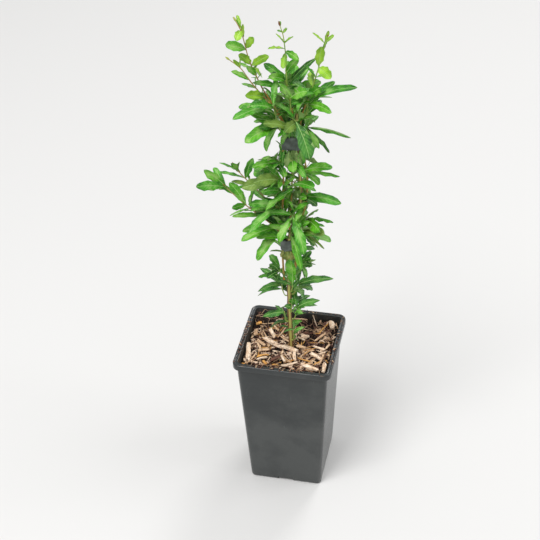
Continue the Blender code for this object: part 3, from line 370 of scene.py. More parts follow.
def laid(forms, centres, yaw, pitch, roll):
    """Turns each form by its roll about X, pitch about Y and yaw about Z, and moves it to its centre."""
    x, y, z = (forms[..., k] for k in range(3))
    yaw, pitch, roll = (angle[:, None, None] for angle in (yaw, pitch, roll))
    y, z = y * np.cos(roll) - z * np.sin(roll), y * np.sin(roll) + z * np.cos(roll)
    x, z = x * np.cos(pitch) - z * np.sin(pitch), x * np.sin(pitch) + z * np.cos(pitch)
    x, y = x * np.cos(yaw) - y * np.sin(yaw), x * np.sin(yaw) + y * np.cos(yaw)
    return np.stack([x, y, z], -1) + centres[:, None, None, :]


def chip_piece(name, forms, woods, wood_of_chip, nodes=()):
    """A piece of chips, each in its own wood. UV is millimetres along the grain and round it."""
    n = len(forms)
    length = np.linalg.norm(forms[:, -1] - forms[:, 0], axis=-1).mean(1)[:, None, None]
    u = np.linspace(0, 1, STATIONS)[None, :, None] * length
    v = np.array([0, 1, 2, 3, 2, 1])[None, None, :] * 1.6 + (np.arange(n) * 7.3 % 97)[:, None, None]
    uv = np.stack(np.broadcast_arrays(u, v), -1).reshape(-1, 2)
    slots = np.concatenate([np.repeat(wood_of_chip, (STATIONS - 1) * CORNERS), wood_of_chip, wood_of_chip])
    form = forms.reshape(-1, 3), closed_rings(STATIONS, CORNERS, n), uv
    piece(name, form, woods, nodes, slots, smooth=False)


def inside_pot(forms):
    """True for the forms that keep inside the wall and its rounded corners, and off the stem's foot."""
    reach = np.abs(forms[..., :2]).max(axis=(1, 2, 3))
    diagonal = (np.abs(forms[..., 0]) + np.abs(forms[..., 1])).max(axis=(1, 2))
    inner = body_half(forms[..., 2].mean(axis=(1, 2))) - WALL
    from_stem = np.hypot(forms[..., 0] - STEM_FOOT[0], forms[..., 1] - STEM_FOOT[1]).min(axis=(1, 2))
    return (reach < inner - 0.4) & (diagonal < 2 * inner - 3.6) & (from_stem > STEM_CLEAR)


def strewn(count, lengths, widths, thicknesses, layer, steep, patch_share, draw):
    """Chips strewn over the bed: places, turns and sizes drawn until enough of them keep inside the pot.

    Of those that fall in a dark patch, only the patch share stays.
    """
    kept = []
    while sum(map(len, kept)) < count:
        x, y = draw.uniform(-STREWN_HALF, STREWN_HALF, (2, count))
        length = np.exp(draw.uniform(*np.log(lengths), count))
        lies = draw.uniform(0, 1, count) < np.maximum(covered(x, y), patch_share)
        forms = split_chips(length, draw.uniform(*widths, count), draw.uniform(*thicknesses, count), draw)
        height = mulch_height(x, y) + draw.uniform(*layer, count)
        forms = laid(forms, np.stack([x, y, height], -1), draw.uniform(0, math.tau, count),
                     draw.normal(0, steep, count), draw.normal(0, steep * 1.5, count))
        kept.append(forms[inside_pot(forms) & lies])
    return np.concatenate(kept)[:count]


# Split wood. Fresh faces are pale tan, weathered ones a warmer brown, and heartwood orange. Grain runs along
# each chip in streaks about 0.5 mm wide, drawn at 1.4 mm so that they show, and soil clings to it in patches.
def split_wood(name, dark, middle, pale):
    made, tree, shader = new_material(name, middle, 0.78, 1.5)
    place = add(tree, "UVMap", uv_map="UVMap")
    drawn = add(tree, "Mapping", {"Vector": place, "Scale": (0.10, 0.7, 1.0)})
    streak = add(tree, "TexNoise", {"Vector": drawn, "Scale": 1.0, "Detail": 5.0, "Roughness": 0.7})
    wood = add(tree, "ValToRGB", {"Fac": streak}, ((0.34, dark), (0.47, middle), (0.62, pale)))
    patch = add(tree, "TexNoise", {"Vector": place, "Scale": 0.35, "Detail": 4.0, "Roughness": 0.7})
    soil = add(tree, "MapRange", {"Value": patch, "From Min": 0.52, "From Max": 0.68, "To Max": 0.85})
    soiled = add(tree, "Mix", {"Factor": soil, "A": wood, "B": linear("4b3529")}, data_type="RGBA")
    relief = add(tree, "Bump", {"Height": streak, "Strength": 0.55, "Distance": 0.0005})
    feed(shader, {"Base Color": soiled, "Normal": relief})
    return made


WOODS = {
    "pale": split_wood("split_sapwood", "a47c5e", "e8c9a9", "f9e7d2"),
    "tan": split_wood("weathered_wood", "7d5c41", "c9a27c", "ecd0ae"),
    "orange": split_wood("orange_heartwood", "965820", "cf9040", "eebe70"),
    "brown": split_wood("old_bark", "24140e", "56352a", "8a5c46"),
}

# The larger chips lie where they settled: (x, y, bearing, how far the far end tips down, length, width, wood).
LAID_CHIPS = (
    (-21, -2, -27, 2, 30, 6.1, "pale"), (0, -8, -11, 5, 23, 6.1, "pale"), (-49, -24, -81, 23, 23, 6.1, "pale"),
    (-27, 17, -48, 20, 15, 5.1, "pale"), (-48, 15, -83, 28, 8, 4.4, "tan"), (46, 44, -69, 10, 12, 6.7, "pale"),
    (16, 15, -4, 0, 10, 6.1, "pale"), (34, -43, -13, 3, 20, 6.1, "pale"), (51, -41, -91, 18, 13, 4.6, "pale"),
    (-31, -17, 26, 0, 14, 4.4, "tan"), (-30, -27, 30, 4, 15, 2.9, "orange"), (-30, -32, 27, 0, 14, 2.9, "pale"),
    (-25, -40, -41, 16, 7, 3.2, "orange"), (-13, -31, 45, 0, 14, 4.6, "brown"), (-3, -30, -52, 10, 11, 3.2, "pale"),
    (10, -23, -73, 12, 14, 3.9, "pale"), (7, -40, 32, 3, 20, 3.7, "pale"), (-14, 22, 71, -8, 22, 1.8, "tan"),
    (-26, 30, -48, 0, 17, 2.7, "tan"), (36, 19, 60, 0, 21, 3.2, "tan"), (37, 38, 67, -2, 26, 1.6, "orange"),
    (37, -20, -26, 7, 16, 5.1, "pale"), (45, -24, 82, -9, 19, 2.7, "tan"), (23, -28, -9, 4, 16, 2.0, "orange"),
    (-48, 32, 34, -7, 8, 3.7, "orange"), (-38, -3, 145, -4, 14, 3.9, "tan"), (15, -4, -19, -4, 14, 4.1, "tan"),
    (4, 50, 3, 0, 17, 1.8, "tan"), (48, 1, 67, -7, 9, 2.9, "tan"), (38, -3, -17, 0, 16, 3.2, "pale"),
    (-42, -34, 69, -5, 22, 1.7, "tan"), (12, 12, -25, 0, 11, 2.4, "pale"), (-8, 8, -29, 4, 15, 2.4, "tan"),
)

draw = np.random.default_rng(5)
strewn_chips = np.concatenate([
    strewn(60, (9, 19), (2.6, 5.2), (1.2, 2.2), (-1.4, 1.0), 0.22, 0.1, draw),
    strewn(240, (4, 13), (1.2, 3.2), (0.8, 1.6), (-1.4, 1.8), 0.32, 0.2, draw),
    strewn(240, (7, 24), (0.6, 1.4), (0.5, 0.9), (-0.8, 2.6), 0.18, 0.4, draw)])
x, y, bearing, tip, length, width = np.array([row[:6] for row in LAID_CHIPS], float).T
laid_forms = laid(split_chips(length, 1.12 * width, 0.4 * width + 0.6, draw, 0.5),
                  np.column_stack([x, y, mulch_height(x, y) + 2.9 + 0.2 * width]), np.radians(bearing),
                  -np.radians(tip), draw.normal(0, 0.15, len(x)))
# A strewn chip that would hide a laid one is left out.
middles, laid_middles = strewn_chips.mean(axis=(1, 2)), laid_forms.mean(axis=2)
apart = np.linalg.norm(middles[:, None, None, :2] - laid_middles[None, :, :, :2], axis=-1).min(axis=2)
strewn_chips = strewn_chips[(apart > width / 2 + 0.8).all(axis=1)]
# In the dark patches most chips are dark brown, which makes these patches darker still.
in_dark_patch = covered(*strewn_chips.mean(axis=(1, 2))[:, :2].T) < 0.5
wood_of_chip = np.where(in_dark_patch, draw.choice(4, len(strewn_chips), p=(0.05, 0.20, 0.05, 0.70)),
                        draw.choice(4, len(strewn_chips), p=(0.42, 0.28, 0.10, 0.20)))
wood_of_chip = np.concatenate([wood_of_chip, [list(WOODS).index(row[6]) for row in LAID_CHIPS]])
chip_piece("wood_chips", np.concatenate([strewn_chips, laid_forms]), list(WOODS.values()), wood_of_chip,
           ["wood_chip_mulch"])
crumbs = strewn(1300, (1.2, 4.5), (0.9, 2.4), (0.8, 1.8), (-1.8, 1.2), 0.5, 1.0, draw)
chip_piece("bark_crumbs", crumbs, [potting_bark, WOODS["brown"]], draw.choice(2, len(crumbs), p=(0.75, 0.25)))

# Soil, crumbs and splinters that spilled on the lip, most of them on its left and front sides.
SPILLED, LIP_TOP = 150, (205.9, 206.5)
along, over = draw.uniform(-58, 58, SPILLED), draw.normal(59.2, 1.1, SPILLED)
side = draw.choice(4, SPILLED, p=(0.42, 0.34, 0.18, 0.06))
turns = np.array([(-1, 0), (0, -1), (1, 0), (0, 1)])[side]
spots = turns * over[:, None] + turns[:, ::-1] * (along * (0.4 + 0.6 * draw.uniform(0, 1, SPILLED)))[:, None]
spilled = split_chips(np.exp(draw.uniform(-0.2, 1.5, SPILLED)), draw.uniform(0.6, 1.6, SPILLED),
                      draw.uniform(0.4, 0.9, SPILLED), draw)
spilled = laid(spilled, np.column_stack([spots, draw.uniform(*LIP_TOP, SPILLED)]),
               draw.uniform(0, math.tau, SPILLED), draw.normal(0, 0.15, SPILLED), draw.normal(0, 0.3, SPILLED))
chip_piece("spilled_crumbs", spilled, [potting_bark, WOODS["brown"], WOODS["tan"]],
           draw.choice(3, SPILLED, p=(0.25, 0.55, 0.20)))


# Fine roots and bark strings lie among the chips: each is a thin three-sided strand along a flat arc.
def strands(count, draw):
    """Strands along arcs, with the angle along each growing evenly, and a small rise midway."""
    s = np.linspace(0, 1, STRAND_POINTS)[None, :]
    x0, y0 = draw.uniform(-50, 50, (2, count, 1))
    length = draw.uniform(7, 24, (count, 1))
    angle = draw.uniform(0, math.tau, (count, 1)) + draw.normal(0, 1.5, (count, 1)) * s
    x = np.clip(x0 + np.cumsum(np.cos(angle), 1) * length / STRAND_POINTS, -STRANDS_HALF, STRANDS_HALF)
    y = np.clip(y0 + np.cumsum(np.sin(angle), 1) * length / STRAND_POINTS, -STRANDS_HALF, STRANDS_HALF)
    z = mulch_height(x, y) + draw.uniform(0.4, 2.6, (count, 1)) + draw.uniform(0, 2.2, (count, 1)) * np.sin(math.pi * s)
    thick = draw.uniform(0.18, 0.38, (count, 1)) * (1.1 - 0.5 * s)
    ring = np.arange(STRAND_SIDES) * math.tau / STRAND_SIDES
    side, lift = (thick[..., None] * share for share in (np.cos(ring), np.sin(ring)))
    outward = np.stack([-np.sin(angle), np.cos(angle), 0 * angle], -1)[:, :, None]
    points = np.stack([x, y, z], -1)[:, :, None] + outward * side[..., None] + np.array([0, 0, 1.0]) * lift[..., None]
    points = points[np.hypot(x, y).min(1) > STRANDS_CLEAR]
    faces = [face[::-1] for face in closed_rings(STRAND_POINTS, STRAND_SIDES, len(points))]
    return points.reshape(-1, 3), faces, np.zeros((points.size // 3, 2))


for name, wood, count in (("tan_strands", "tan", 150), ("dark_strands", "brown", 170)):
    piece(name, strands(count, draw), [WOODS[wood]])


# The stems: one main stem from the mix, three boughs that leave it just above the knee and run up beside it,
# and short arms. Young bark is smooth, olive below and orange-brown above, ribbed along its length and a
# little swollen where leaves have been.
GAP = 0.3  # between a stem and what grows from it
FACET = 0.15  # what a faceted solid reaches past its own radius
ASIDE = (0.3, 0.9, 0.1)  # a direction that no stem follows
STEM_SIDES, STEM_STEP, RIBBED = 14, 2.5, 0.05
UP = np.array([0.0, 0.0, 1.0])
FAN_BEARING = math.radians(13.2)
LIMB_STEP = 12.0
OUT_OF_LIMB, INTO_LIMB = 2.2, 1.4  # how far a bough first runs straight out, and back into what carries it
FLARE_HEIGHT, FLARE_SHARE = 9.0, 0.45  # the main stem widens over this height to this much more at its foot
NODE_SPACING = 27  # from one swelling of the bark to the next
Limb = namedtuple("Limb", "name grows_from points foot_radius tip_radius")

LIMBS = (
    Limb("main_stem", None,
         ((1, 0, 185.6), (1, 0, 200), (0, 0, 250), (0, 0, 300), (-1, 0, 350), (6, 0, 380),
          (14, 0, 404), (16, 0, 430), (14.5, 0, 470), (10.5, 0, 500), (13, 0, 534)), 3.1, 1.6),
    Limb("bough_left", ("main_stem", 296, 180),
         ((-6, 2.5, 306), (-6.8, 2.5, 330), (-6.5, 2.5, 354), (-6, 2.5, 400), (-4, 2.5, 436),
          (-4, 2.5, 470), (-3, 2.5, 487), (-0.2, 2.5, 505), (-5, 2, 526), (-19, 1, 551)), 1.3, 0.8),
    Limb("bough_right", ("main_stem", 300, 0),
         ((7, 2.5, 310), (9, 2.5, 330), (9, 2.5, 354), (15, 2.5, 384), (21.5, 2.5, 410), (24, 2.5, 438),
          (22.5, 2.5, 462), (18.5, 2.5, 486), (16.6, 2.5, 505), (18, 2, 530), (27.5, 1, 557)), 1.3, 0.8),
    Limb("bough_back", ("main_stem", 305, 90),
         ((0, 7, 315), (0.5, 7, 335), (1, 7, 356), (4, 9, 400), (6.5, 9, 450), (5, 7.2, 488),
          (3, 7.5, 506), (-6, 8.5, 528), (-24, 7, 562)), 1.3, 0.8),
    Limb("bough_centre", ("main_stem", 528, 200), ((7.6, -1, 538), (4.4, -1, 556)), 0.95, 0.8),
    Limb("arm_left_low", ("bough_left", 372, 190), ((-14, 1, 379), (-22, 0, 388), (-30, -1, 396)), 0.95, 0.8),
    Limb("arm_left_high", ("bough_left", 398, 170), ((-13, 4.5, 407), (-20, 5.5, 414), (-27, 6, 420.5)), 0.9, 0.75),
)


def unit(vector):
    return vector / np.linalg.norm(vector)


def bearing_vector(degrees):
    """The level direction at this bearing from the fan's across direction."""
    angle = math.radians(degrees) + FAN_BEARING
    return np.array([math.cos(angle), math.sin(angle), 0.0])


def placed(point):
    """A place in the fan, as (across, away, height), in the pot's own axes."""
    across, away, height = point
    return across * bearing_vector(0) + away * bearing_vector(90) + height * UP


def smooth_path(points, step):
    """Points every step along a Catmull-Rom curve through the given ones."""
    points = np.array(points, float)
    ends = np.vstack([2 * points[0] - points[1], points, 2 * points[-1] - points[-2]])
    made = []
    for a, b, c, d in zip(ends, ends[1:], ends[2:], ends[3:]):
        count = max(1, round(np.linalg.norm(c - b) / step))
        for t in np.arange(count) / count:
            made.append(0.5 * (2 * b + (c - a) * t + (2 * a - 5 * b + 4 * c - d) * t**2
                               + (3 * b - a - 3 * c + d) * t**3))
    return np.array([*made, points[-1]])


def lengths_along(path):
    return np.concatenate([[0], np.cumsum(np.linalg.norm(np.diff(path, axis=0), axis=1))])


def on_path(path, lengths, wanted):
    """The places on a path at the wanted lengths, where its own points lie at these lengths."""
    return np.stack([np.interp(wanted, lengths, part) for part in path.T], axis=-1)


def radius_along(limb, path):
    """The limb's radius at each point: an even taper, and a flare at the foot of the main stem."""
    lengths = lengths_along(path)
    radii = limb.foot_radius + (limb.tip_radius - limb.foot_radius) * lengths / lengths[-1]
    if limb.grows_from is None:
        radii = radii * (1 + FLARE_SHARE * np.clip(1 - lengths / FLARE_HEIGHT, 0, 1) ** 2)
    return radii


def stem_at(path, radii, height):
    """Where a rising stem passes this height: its centre, its radius and its direction."""
    above = int(np.argmax(path[:, 2] >= height))
    share = (height - path[above - 1, 2]) / (path[above, 2] - path[above - 1, 2])
    index = above - 1 + share
    return (path[above - 1] + share * (path[above] - path[above - 1]),
            np.interp(index, np.arange(len(radii)), radii), unit(path[int(index) + 1] - path[int(index)]))


def stems_at(height):
    """The centres and radii of all the limbs that pass this height."""
    return [stem_at(path, radii, height)[:2] for path, radii in limbs.values()
            if path[:, 2].min() < height < path[:, 2].max()]


def foot_on(name, height, bearing):
    """The foot of what grows from a limb, one gap clear of its surface, and the way out, square to the limb."""
    path, radii = limbs[name]
    centre, radius, axis = stem_at(path, radii, min(height, path[-1, 2] - 1))
    out = bearing_vector(bearing)
    out = unit(out - (out @ axis) * axis)
    return centre + out * (radius + GAP + FACET), out


def tube(path, radii, sides, relief):
    """A skin round a path: at each point a ring of sides, square to the path, whose radius is that point's.

    The rings keep the same start direction along the path, so the skin doesn't twist. relief is how much of
    the radius the skin rises and falls, in ribs that wander along it and swellings at its nodes. A cone of two
    short rings rounds each end.
    """
    way = np.gradient(path, axis=0)
    way = way / np.linalg.norm(way, axis=1)[:, None]
    start = np.cross(way[0], ASIDE)
    beside = []
    for direction in way:
        start = unit(start - (start @ direction) * direction)
        beside.append(start)
    beside = np.array(beside)
    above = np.cross(way, beside)
    ends = np.array([0, *range(len(path)), len(path) - 1])
    shift, scale = np.zeros(len(ends)), np.ones(len(ends))
    shift[[0, -1]], scale[[0, -1]] = (-0.4, 0.4), 0.45
    centre = path[ends] + way[ends] * (shift * radii[ends])[:, None]
    lengths = lengths_along(path)[ends, None]
    angle = np.arange(sides) * math.tau / sides
    ribs = np.sin(3 * angle[None] + lengths / 9) * 0.5 + np.sin(5 * angle[None] - lengths / 5 + 1) * 0.5
    knots = np.exp(-((lengths % NODE_SPACING - NODE_SPACING / 2) / 1.8) ** 2) * 1.3
    size = (radii[ends] * scale)[:, None] * (1 + relief * (ribs + knots))
    rings = centre[:, None] + size[..., None] * (np.cos(angle)[None, :, None] * beside[ends][:, None]
                                                 + np.sin(angle)[None, :, None] * above[ends][:, None])
    uv = np.stack(np.broadcast_arrays(lengths, angle[None] * 2), -1).reshape(-1, 2)
    return rings.reshape(-1, 3), closed_rings(len(ends), sides), uv


def joined(parts):
    """Several (points, faces, uv) as one."""
    points, faces, uvs = zip(*parts)
    starts = np.cumsum([0, *map(len, points)])
    return (np.concatenate(points), [[start + k for k in face] for start, some in zip(starts, faces) for face in some],
            np.concatenate(uvs))


# Young bark: a thin skin, olive where it is greenest and orange-brown where it has corked, with pale pores.
# The streaks run along the stem, about 1 mm wide and 13 mm long. On an older stem the brown lies in three
# strips that run up its sides, by the UV's second part, which is twice the angle round it.
def young_bark(name, green, tan, brown, strips=0.0):
    made, tree, shader = new_material(name, tan, 0.55, 1.5)
    where = add(tree, "TexCoord").outputs["Object"]
    drawn = add(tree, "Mapping", {"Vector": where, "Scale": (900.0, 900.0, 75.0)})
    streak = add(tree, "TexNoise", {"Vector": drawn, "Scale": 1.0, "Detail": 3.0, "Roughness": 0.6})
    patch = add(tree, "TexNoise", {"Vector": where, "Scale": 60.0, "Detail": 2.0})
    tone = add(tree, "Mix", {"Factor": 0.45, "A": streak, "B": patch})
    round_it = add(tree, "SeparateXYZ", {"Vector": add(tree, "UVMap", uv_map="UVMap")}).outputs["Y"]
    strip = add(tree, "Math", {0: round_it, 1: 1.5, 2: 4.69}, operation="MULTIPLY_ADD")
    strip = add(tree, "Math", {0: strip}, operation="SINE")
    tone = add(tree, "Math", {0: strip, 1: strips, 2: tone}, operation="MULTIPLY_ADD")
    colour = add(tree, "ValToRGB", {"Fac": tone}, ((0.34, green), (0.50, tan), (0.64, brown)))
    relief = add(tree, "Bump", {"Height": streak, "Strength": 0.5, "Distance": 0.0004})
    feed(shader, {"Base Color": colour, "Normal": relief})
    return made


olive_bark = young_bark("olive_bark", "c6c06c", "a3924f", "6e452c", 0.15)
tan_bark = young_bark("tan_bark", "a5a45c", "cf9a4e", "b8682a")

limbs = {}
limb_parts = []
for limb in LIMBS:
    points = [placed(p) for p in limb.points]
    inner = []
    if limb.grows_from:
        foot, out = foot_on(*limb.grows_from)
        points = [foot, foot + out * OUT_OF_LIMB + UP * 0.2, *points]
        inner = [foot - out * INTO_LIMB]
    path = smooth_path(points, LIMB_STEP)
    radii = radius_along(limb, path)
    limbs[limb.name] = (path, radii)
    fine = smooth_path([*inner, *path], STEM_STEP)
    limb_parts.append(tube(fine, np.interp(lengths_along(fine), lengths_along(path), radii), STEM_SIDES, RIBBED))
main_name, *bough_names = limbs
piece("main_stem_bark", limb_parts[0], [olive_bark], [main_name])
piece("bough_bark", joined(limb_parts[1:]), [tan_bark], bough_names)

# The ties: two turns of soft grey budding tape that draw the stems together, smooth and faintly ribbed.
# Each is a sleeve drawn snugly round every stem at its height, rolled at its edges and lapped in front.
TIES = {"tie_lower": (346, 362), "tie_upper": (487, 505)}
TIE_WALL = 0.8
TIE_SIDES, TIE_COLUMNS, TIE_ROWS = 20, 80, 15
LAP_BEARING = math.radians(250)


def outline_round(low, high):
    """The corners of a level loop drawn snugly round the stems between two heights.

    Its sides are square to evenly turned directions, each as far out as the stems reach plus one gap.
    """
    turn = math.tau / TIE_SIDES
    ways = np.array([(math.cos(turn * k), math.sin(turn * k)) for k in range(TIE_SIDES)])
    reach = np.max([ways @ centre[:2] + radius + GAP + FACET for height in np.linspace(low, high, 7)
                    for centre, radius in stems_at(height)], axis=0)
    beyond = np.roll(reach, -1)
    beside = np.stack([-ways[:, 1], ways[:, 0]], axis=1)
    return ways * reach[:, None] + beside * ((beyond - reach * math.cos(turn)) / math.sin(turn))[:, None]


def tie_sleeve(foot, head):
    """A closed sleeve: two level loops blended up its height, an outer skin and an inner one, with rolled edges.

    The outer skin swells by fine ribs and a lap whose step falls in front.
    """
    middle = (foot + head) / 2
    fine = []
    for loop in (outline_round(foot - 1, middle + 1), outline_round(middle - 1, head + 1)):
        fine.append(on_path(np.vstack([loop, loop[:1]]), np.arange(TIE_SIDES + 1),
                            np.arange(TIE_COLUMNS) / TIE_COLUMNS * TIE_SIDES))
    s = np.linspace(0, 1, TIE_ROWS)[:, None]
    mid = fine[0] * (1 - s[..., None]) + fine[1] * s[..., None]
    outwards = mid - mid.mean(axis=1, keepdims=True)
    outwards = outwards / np.linalg.norm(outwards, axis=2, keepdims=True)
    angle = np.arctan2(outwards[..., 1], outwards[..., 0])
    lap = ((angle - LAP_BEARING) % math.tau) / math.tau
    roll = np.sin(s * math.pi) ** 0.35
    swell = TIE_WALL * (0.35 + 0.55 * roll) + 0.35 * lap * roll + 0.10 * np.sin(s * 30 + angle * 2)
    height = np.clip(foot + (head - foot) * s + 0.5 * np.sin(angle + 1.2), foot, head)[..., None]
    outer = np.concatenate([mid + outwards * swell[..., None], height], -1)
    inner = np.concatenate([mid, height], -1)
    closing = grid_faces(2, TIE_COLUMNS, wrap=True)
    closing = np.where(closing >= TIE_COLUMNS, closing - TIE_COLUMNS, closing + (2 * TIE_ROWS - 1) * TIE_COLUMNS)
    return (np.concatenate([outer, inner[::-1]]).reshape(-1, 3),
            np.concatenate([grid_faces(2 * TIE_ROWS, TIE_COLUMNS, wrap=True), closing]))


budding_tape = blotched("grey_budding_tape", "5d6460", 0.62, 1.5, {"Scale": 130.0, "Detail": 4.0},
                        ((0.35, "474e47"), (0.52, "5d6561"), (0.7, "7a807c")),
                        ({"Scale": 1500.0, "Detail": 2.0}, 0.25, 0.0003))
for name, edges in TIES.items():
    piece(f"{name}_tape", tie_sleeve(*edges), [budding_tape], [name])

# The foliage: twigs with leaves in opposite pairs. Long shoots carry on from the tips of the limbs, and short
# sprays stand all round them. A leaf given in a table keeps its place, and the others follow from the seeded
# rule of opposite pairs, each pair a quarter turn on from the last.
TWIG_RADIUS, TWIG_TIP_RADIUS = 0.85, 0.5
TWIG_POINTS = 5
FIRST_LEAF, LAST_LEAF = 1.5, 1.2  # how far from the foot and the tip of a stem leaves keep
LEAF_SLENDERNESS = 0.31  # width over length
LEAF_DEPTH = 0.03  # how deep a leaf's keel is in the tests, as a share of its length
LEAF_RINGS = ((0.0, 0.0), (0.09, 0.14), (0.34, 0.86), (0.64, 1.0), (0.87, 0.62), (1.0, 0.0))  # length, half width
SPRAY_SPREAD, SPRAY_DROOP = 60, 34  # in degrees: how far leaves lean out of their stem, and how far they bend
SHOOT_SPREAD, SHOOT_DROOP = 50, 16
CLEAR = 0.15  # what the tests add all round
SET_WIDTH = 0.88  # of the width in the tables, which the fold and the crisp margin take up
ROOT_INSET = 0.7  # how far into its stem a leaf's root goes, as a share of the stem's radius
UPRIGHT = 0.98  # the rise of a stem that has no level direction of its own
GROWN_SEED, SIDE_TWIG_SEED, SPUR_SEED = 1000, 3000, 4000
LIGHT_BEARING, LIGHT_HEIGHT = 270, math.radians(50)
TO_VIEWER = bearing_vector(270)
# A leaf keeps above the pot's rim, which lies between these half widths, and above the mulch.
RIM_INNER, RIM_OUTER, OVER_RIM, OVER_MULCH = 48.8, 64.5, 207.5, 198.0
Spray = namedtuple("Spray", "name limb foot bearing reach rise leaf pairs leaves")
Shoot = namedtuple("Shoot", "name limb points leaf pairs leaves")
Leaf = namedtuple("Leaf", "root way normal down length width droop")

# Long shoots that carry on from the tip of a limb: the points they pass through, the length and the
# number of pairs of the leaves that the growth rule adds, and the leaves that stand out. Each of those is
# given by its share along the stem, the bearing, tilt and distance of its tip, its width and its roll.
SHOOTS = (
    Shoot("shoot_top_left", "bough_back", ((-36, 4, 594), (-41, 1, 615), (-45.5, -2, 639), (-51, -3, 652)), 22, 2,
          ((0.88, 146, 51, 15, 5, 20), (0.88, 105, 47, 16, 6, 0), (0.86, 255, -7, 20, 11, 0),
          (0.59, 207, 27, 28, 14, 0), (0.61, 319, 53, 21, 11, 0), (0.38, 208, 46, 22, 11, 0),
          (0.36, 332, 37, 28, 11, 0), (0.34, 51, -49, 26, 13, 0), (0.2, 214, 51, 21, 9, 0))),
    Shoot("shoot_top_left_low", "bough_left", ((-35, -2, 574), (-48, -4, 596), (-60, -6, 608)), 20, 2,
          ((0.78, 222, 55, 15, 5, 0), (0.48, 205, 37, 28, 10, 0), (0.44, 30, -23, 34, 10, 0),
          (0.09, 223, 25, 32, 14, 0))),
    Shoot("shoot_top_centre", "bough_centre", ((2, -2, 580), (1.4, -3, 610), (-1, -3, 634), (-4, -3, 645)), 20, 2,
          ((0.9, 222, 32, 9, 4, 0), (0.89, 53, 19, 9, 4, 0), (1, 90, 80, 6, 3.6, 0), (0.68, 221, 20, 26, 7, 60),
          (0.65, 302, 2, 27, 10, 0), (0.63, 262, -18, 24, 9, 0), (0.34, 330, 55, 28, 11, 0))),
    Shoot("shoot_top_right", "bough_right", ((37.5, -1, 593), (44, -2, 620), (47, -2, 630)), 20, 2,
          ((0.87, 191, 47, 21, 5, 50), (0.9, 331, 74, 15, 5, 20), (0.89, 47, 15, 15, 5, 20),
          (0.49, 300, 76, 28, 13, 0), (0.48, 298, -5, 26, 15, 0), (0.15, 91, 9, 28, 11, 0))),
    Shoot("shoot_left_low", "arm_left_low", ((-48, -3, 415), (-64, -4, 434), (-72, -4, 444)), 30, 2,
          ((0.05, 204, 15, 37, 9, 20), (0.42, 221, 13, 22, 10, 0), (0.42, 175, 59, 36, 14, 0),
          (0.97, 210, 20, 41, 15, 0), (0.94, 189, 48, 38, 14, 0), (1, 119, 22, 30, 10, 0))),
    Shoot("shoot_left_high", "arm_left_high", ((-36, 6, 432), (-49, 6, 448), (-57, 6, 459), (-60, 6, 465)), 26, 2,
          ((0.26, 197, 29, 34, 8, 20), (0.59, 351, 72, 31, 12, 0), (0.6, 157, 3, 35, 8, 20),
          (0.82, 188, 33, 27, 7, 20), (0.85, 220, 54, 17, 8, 0))),
)

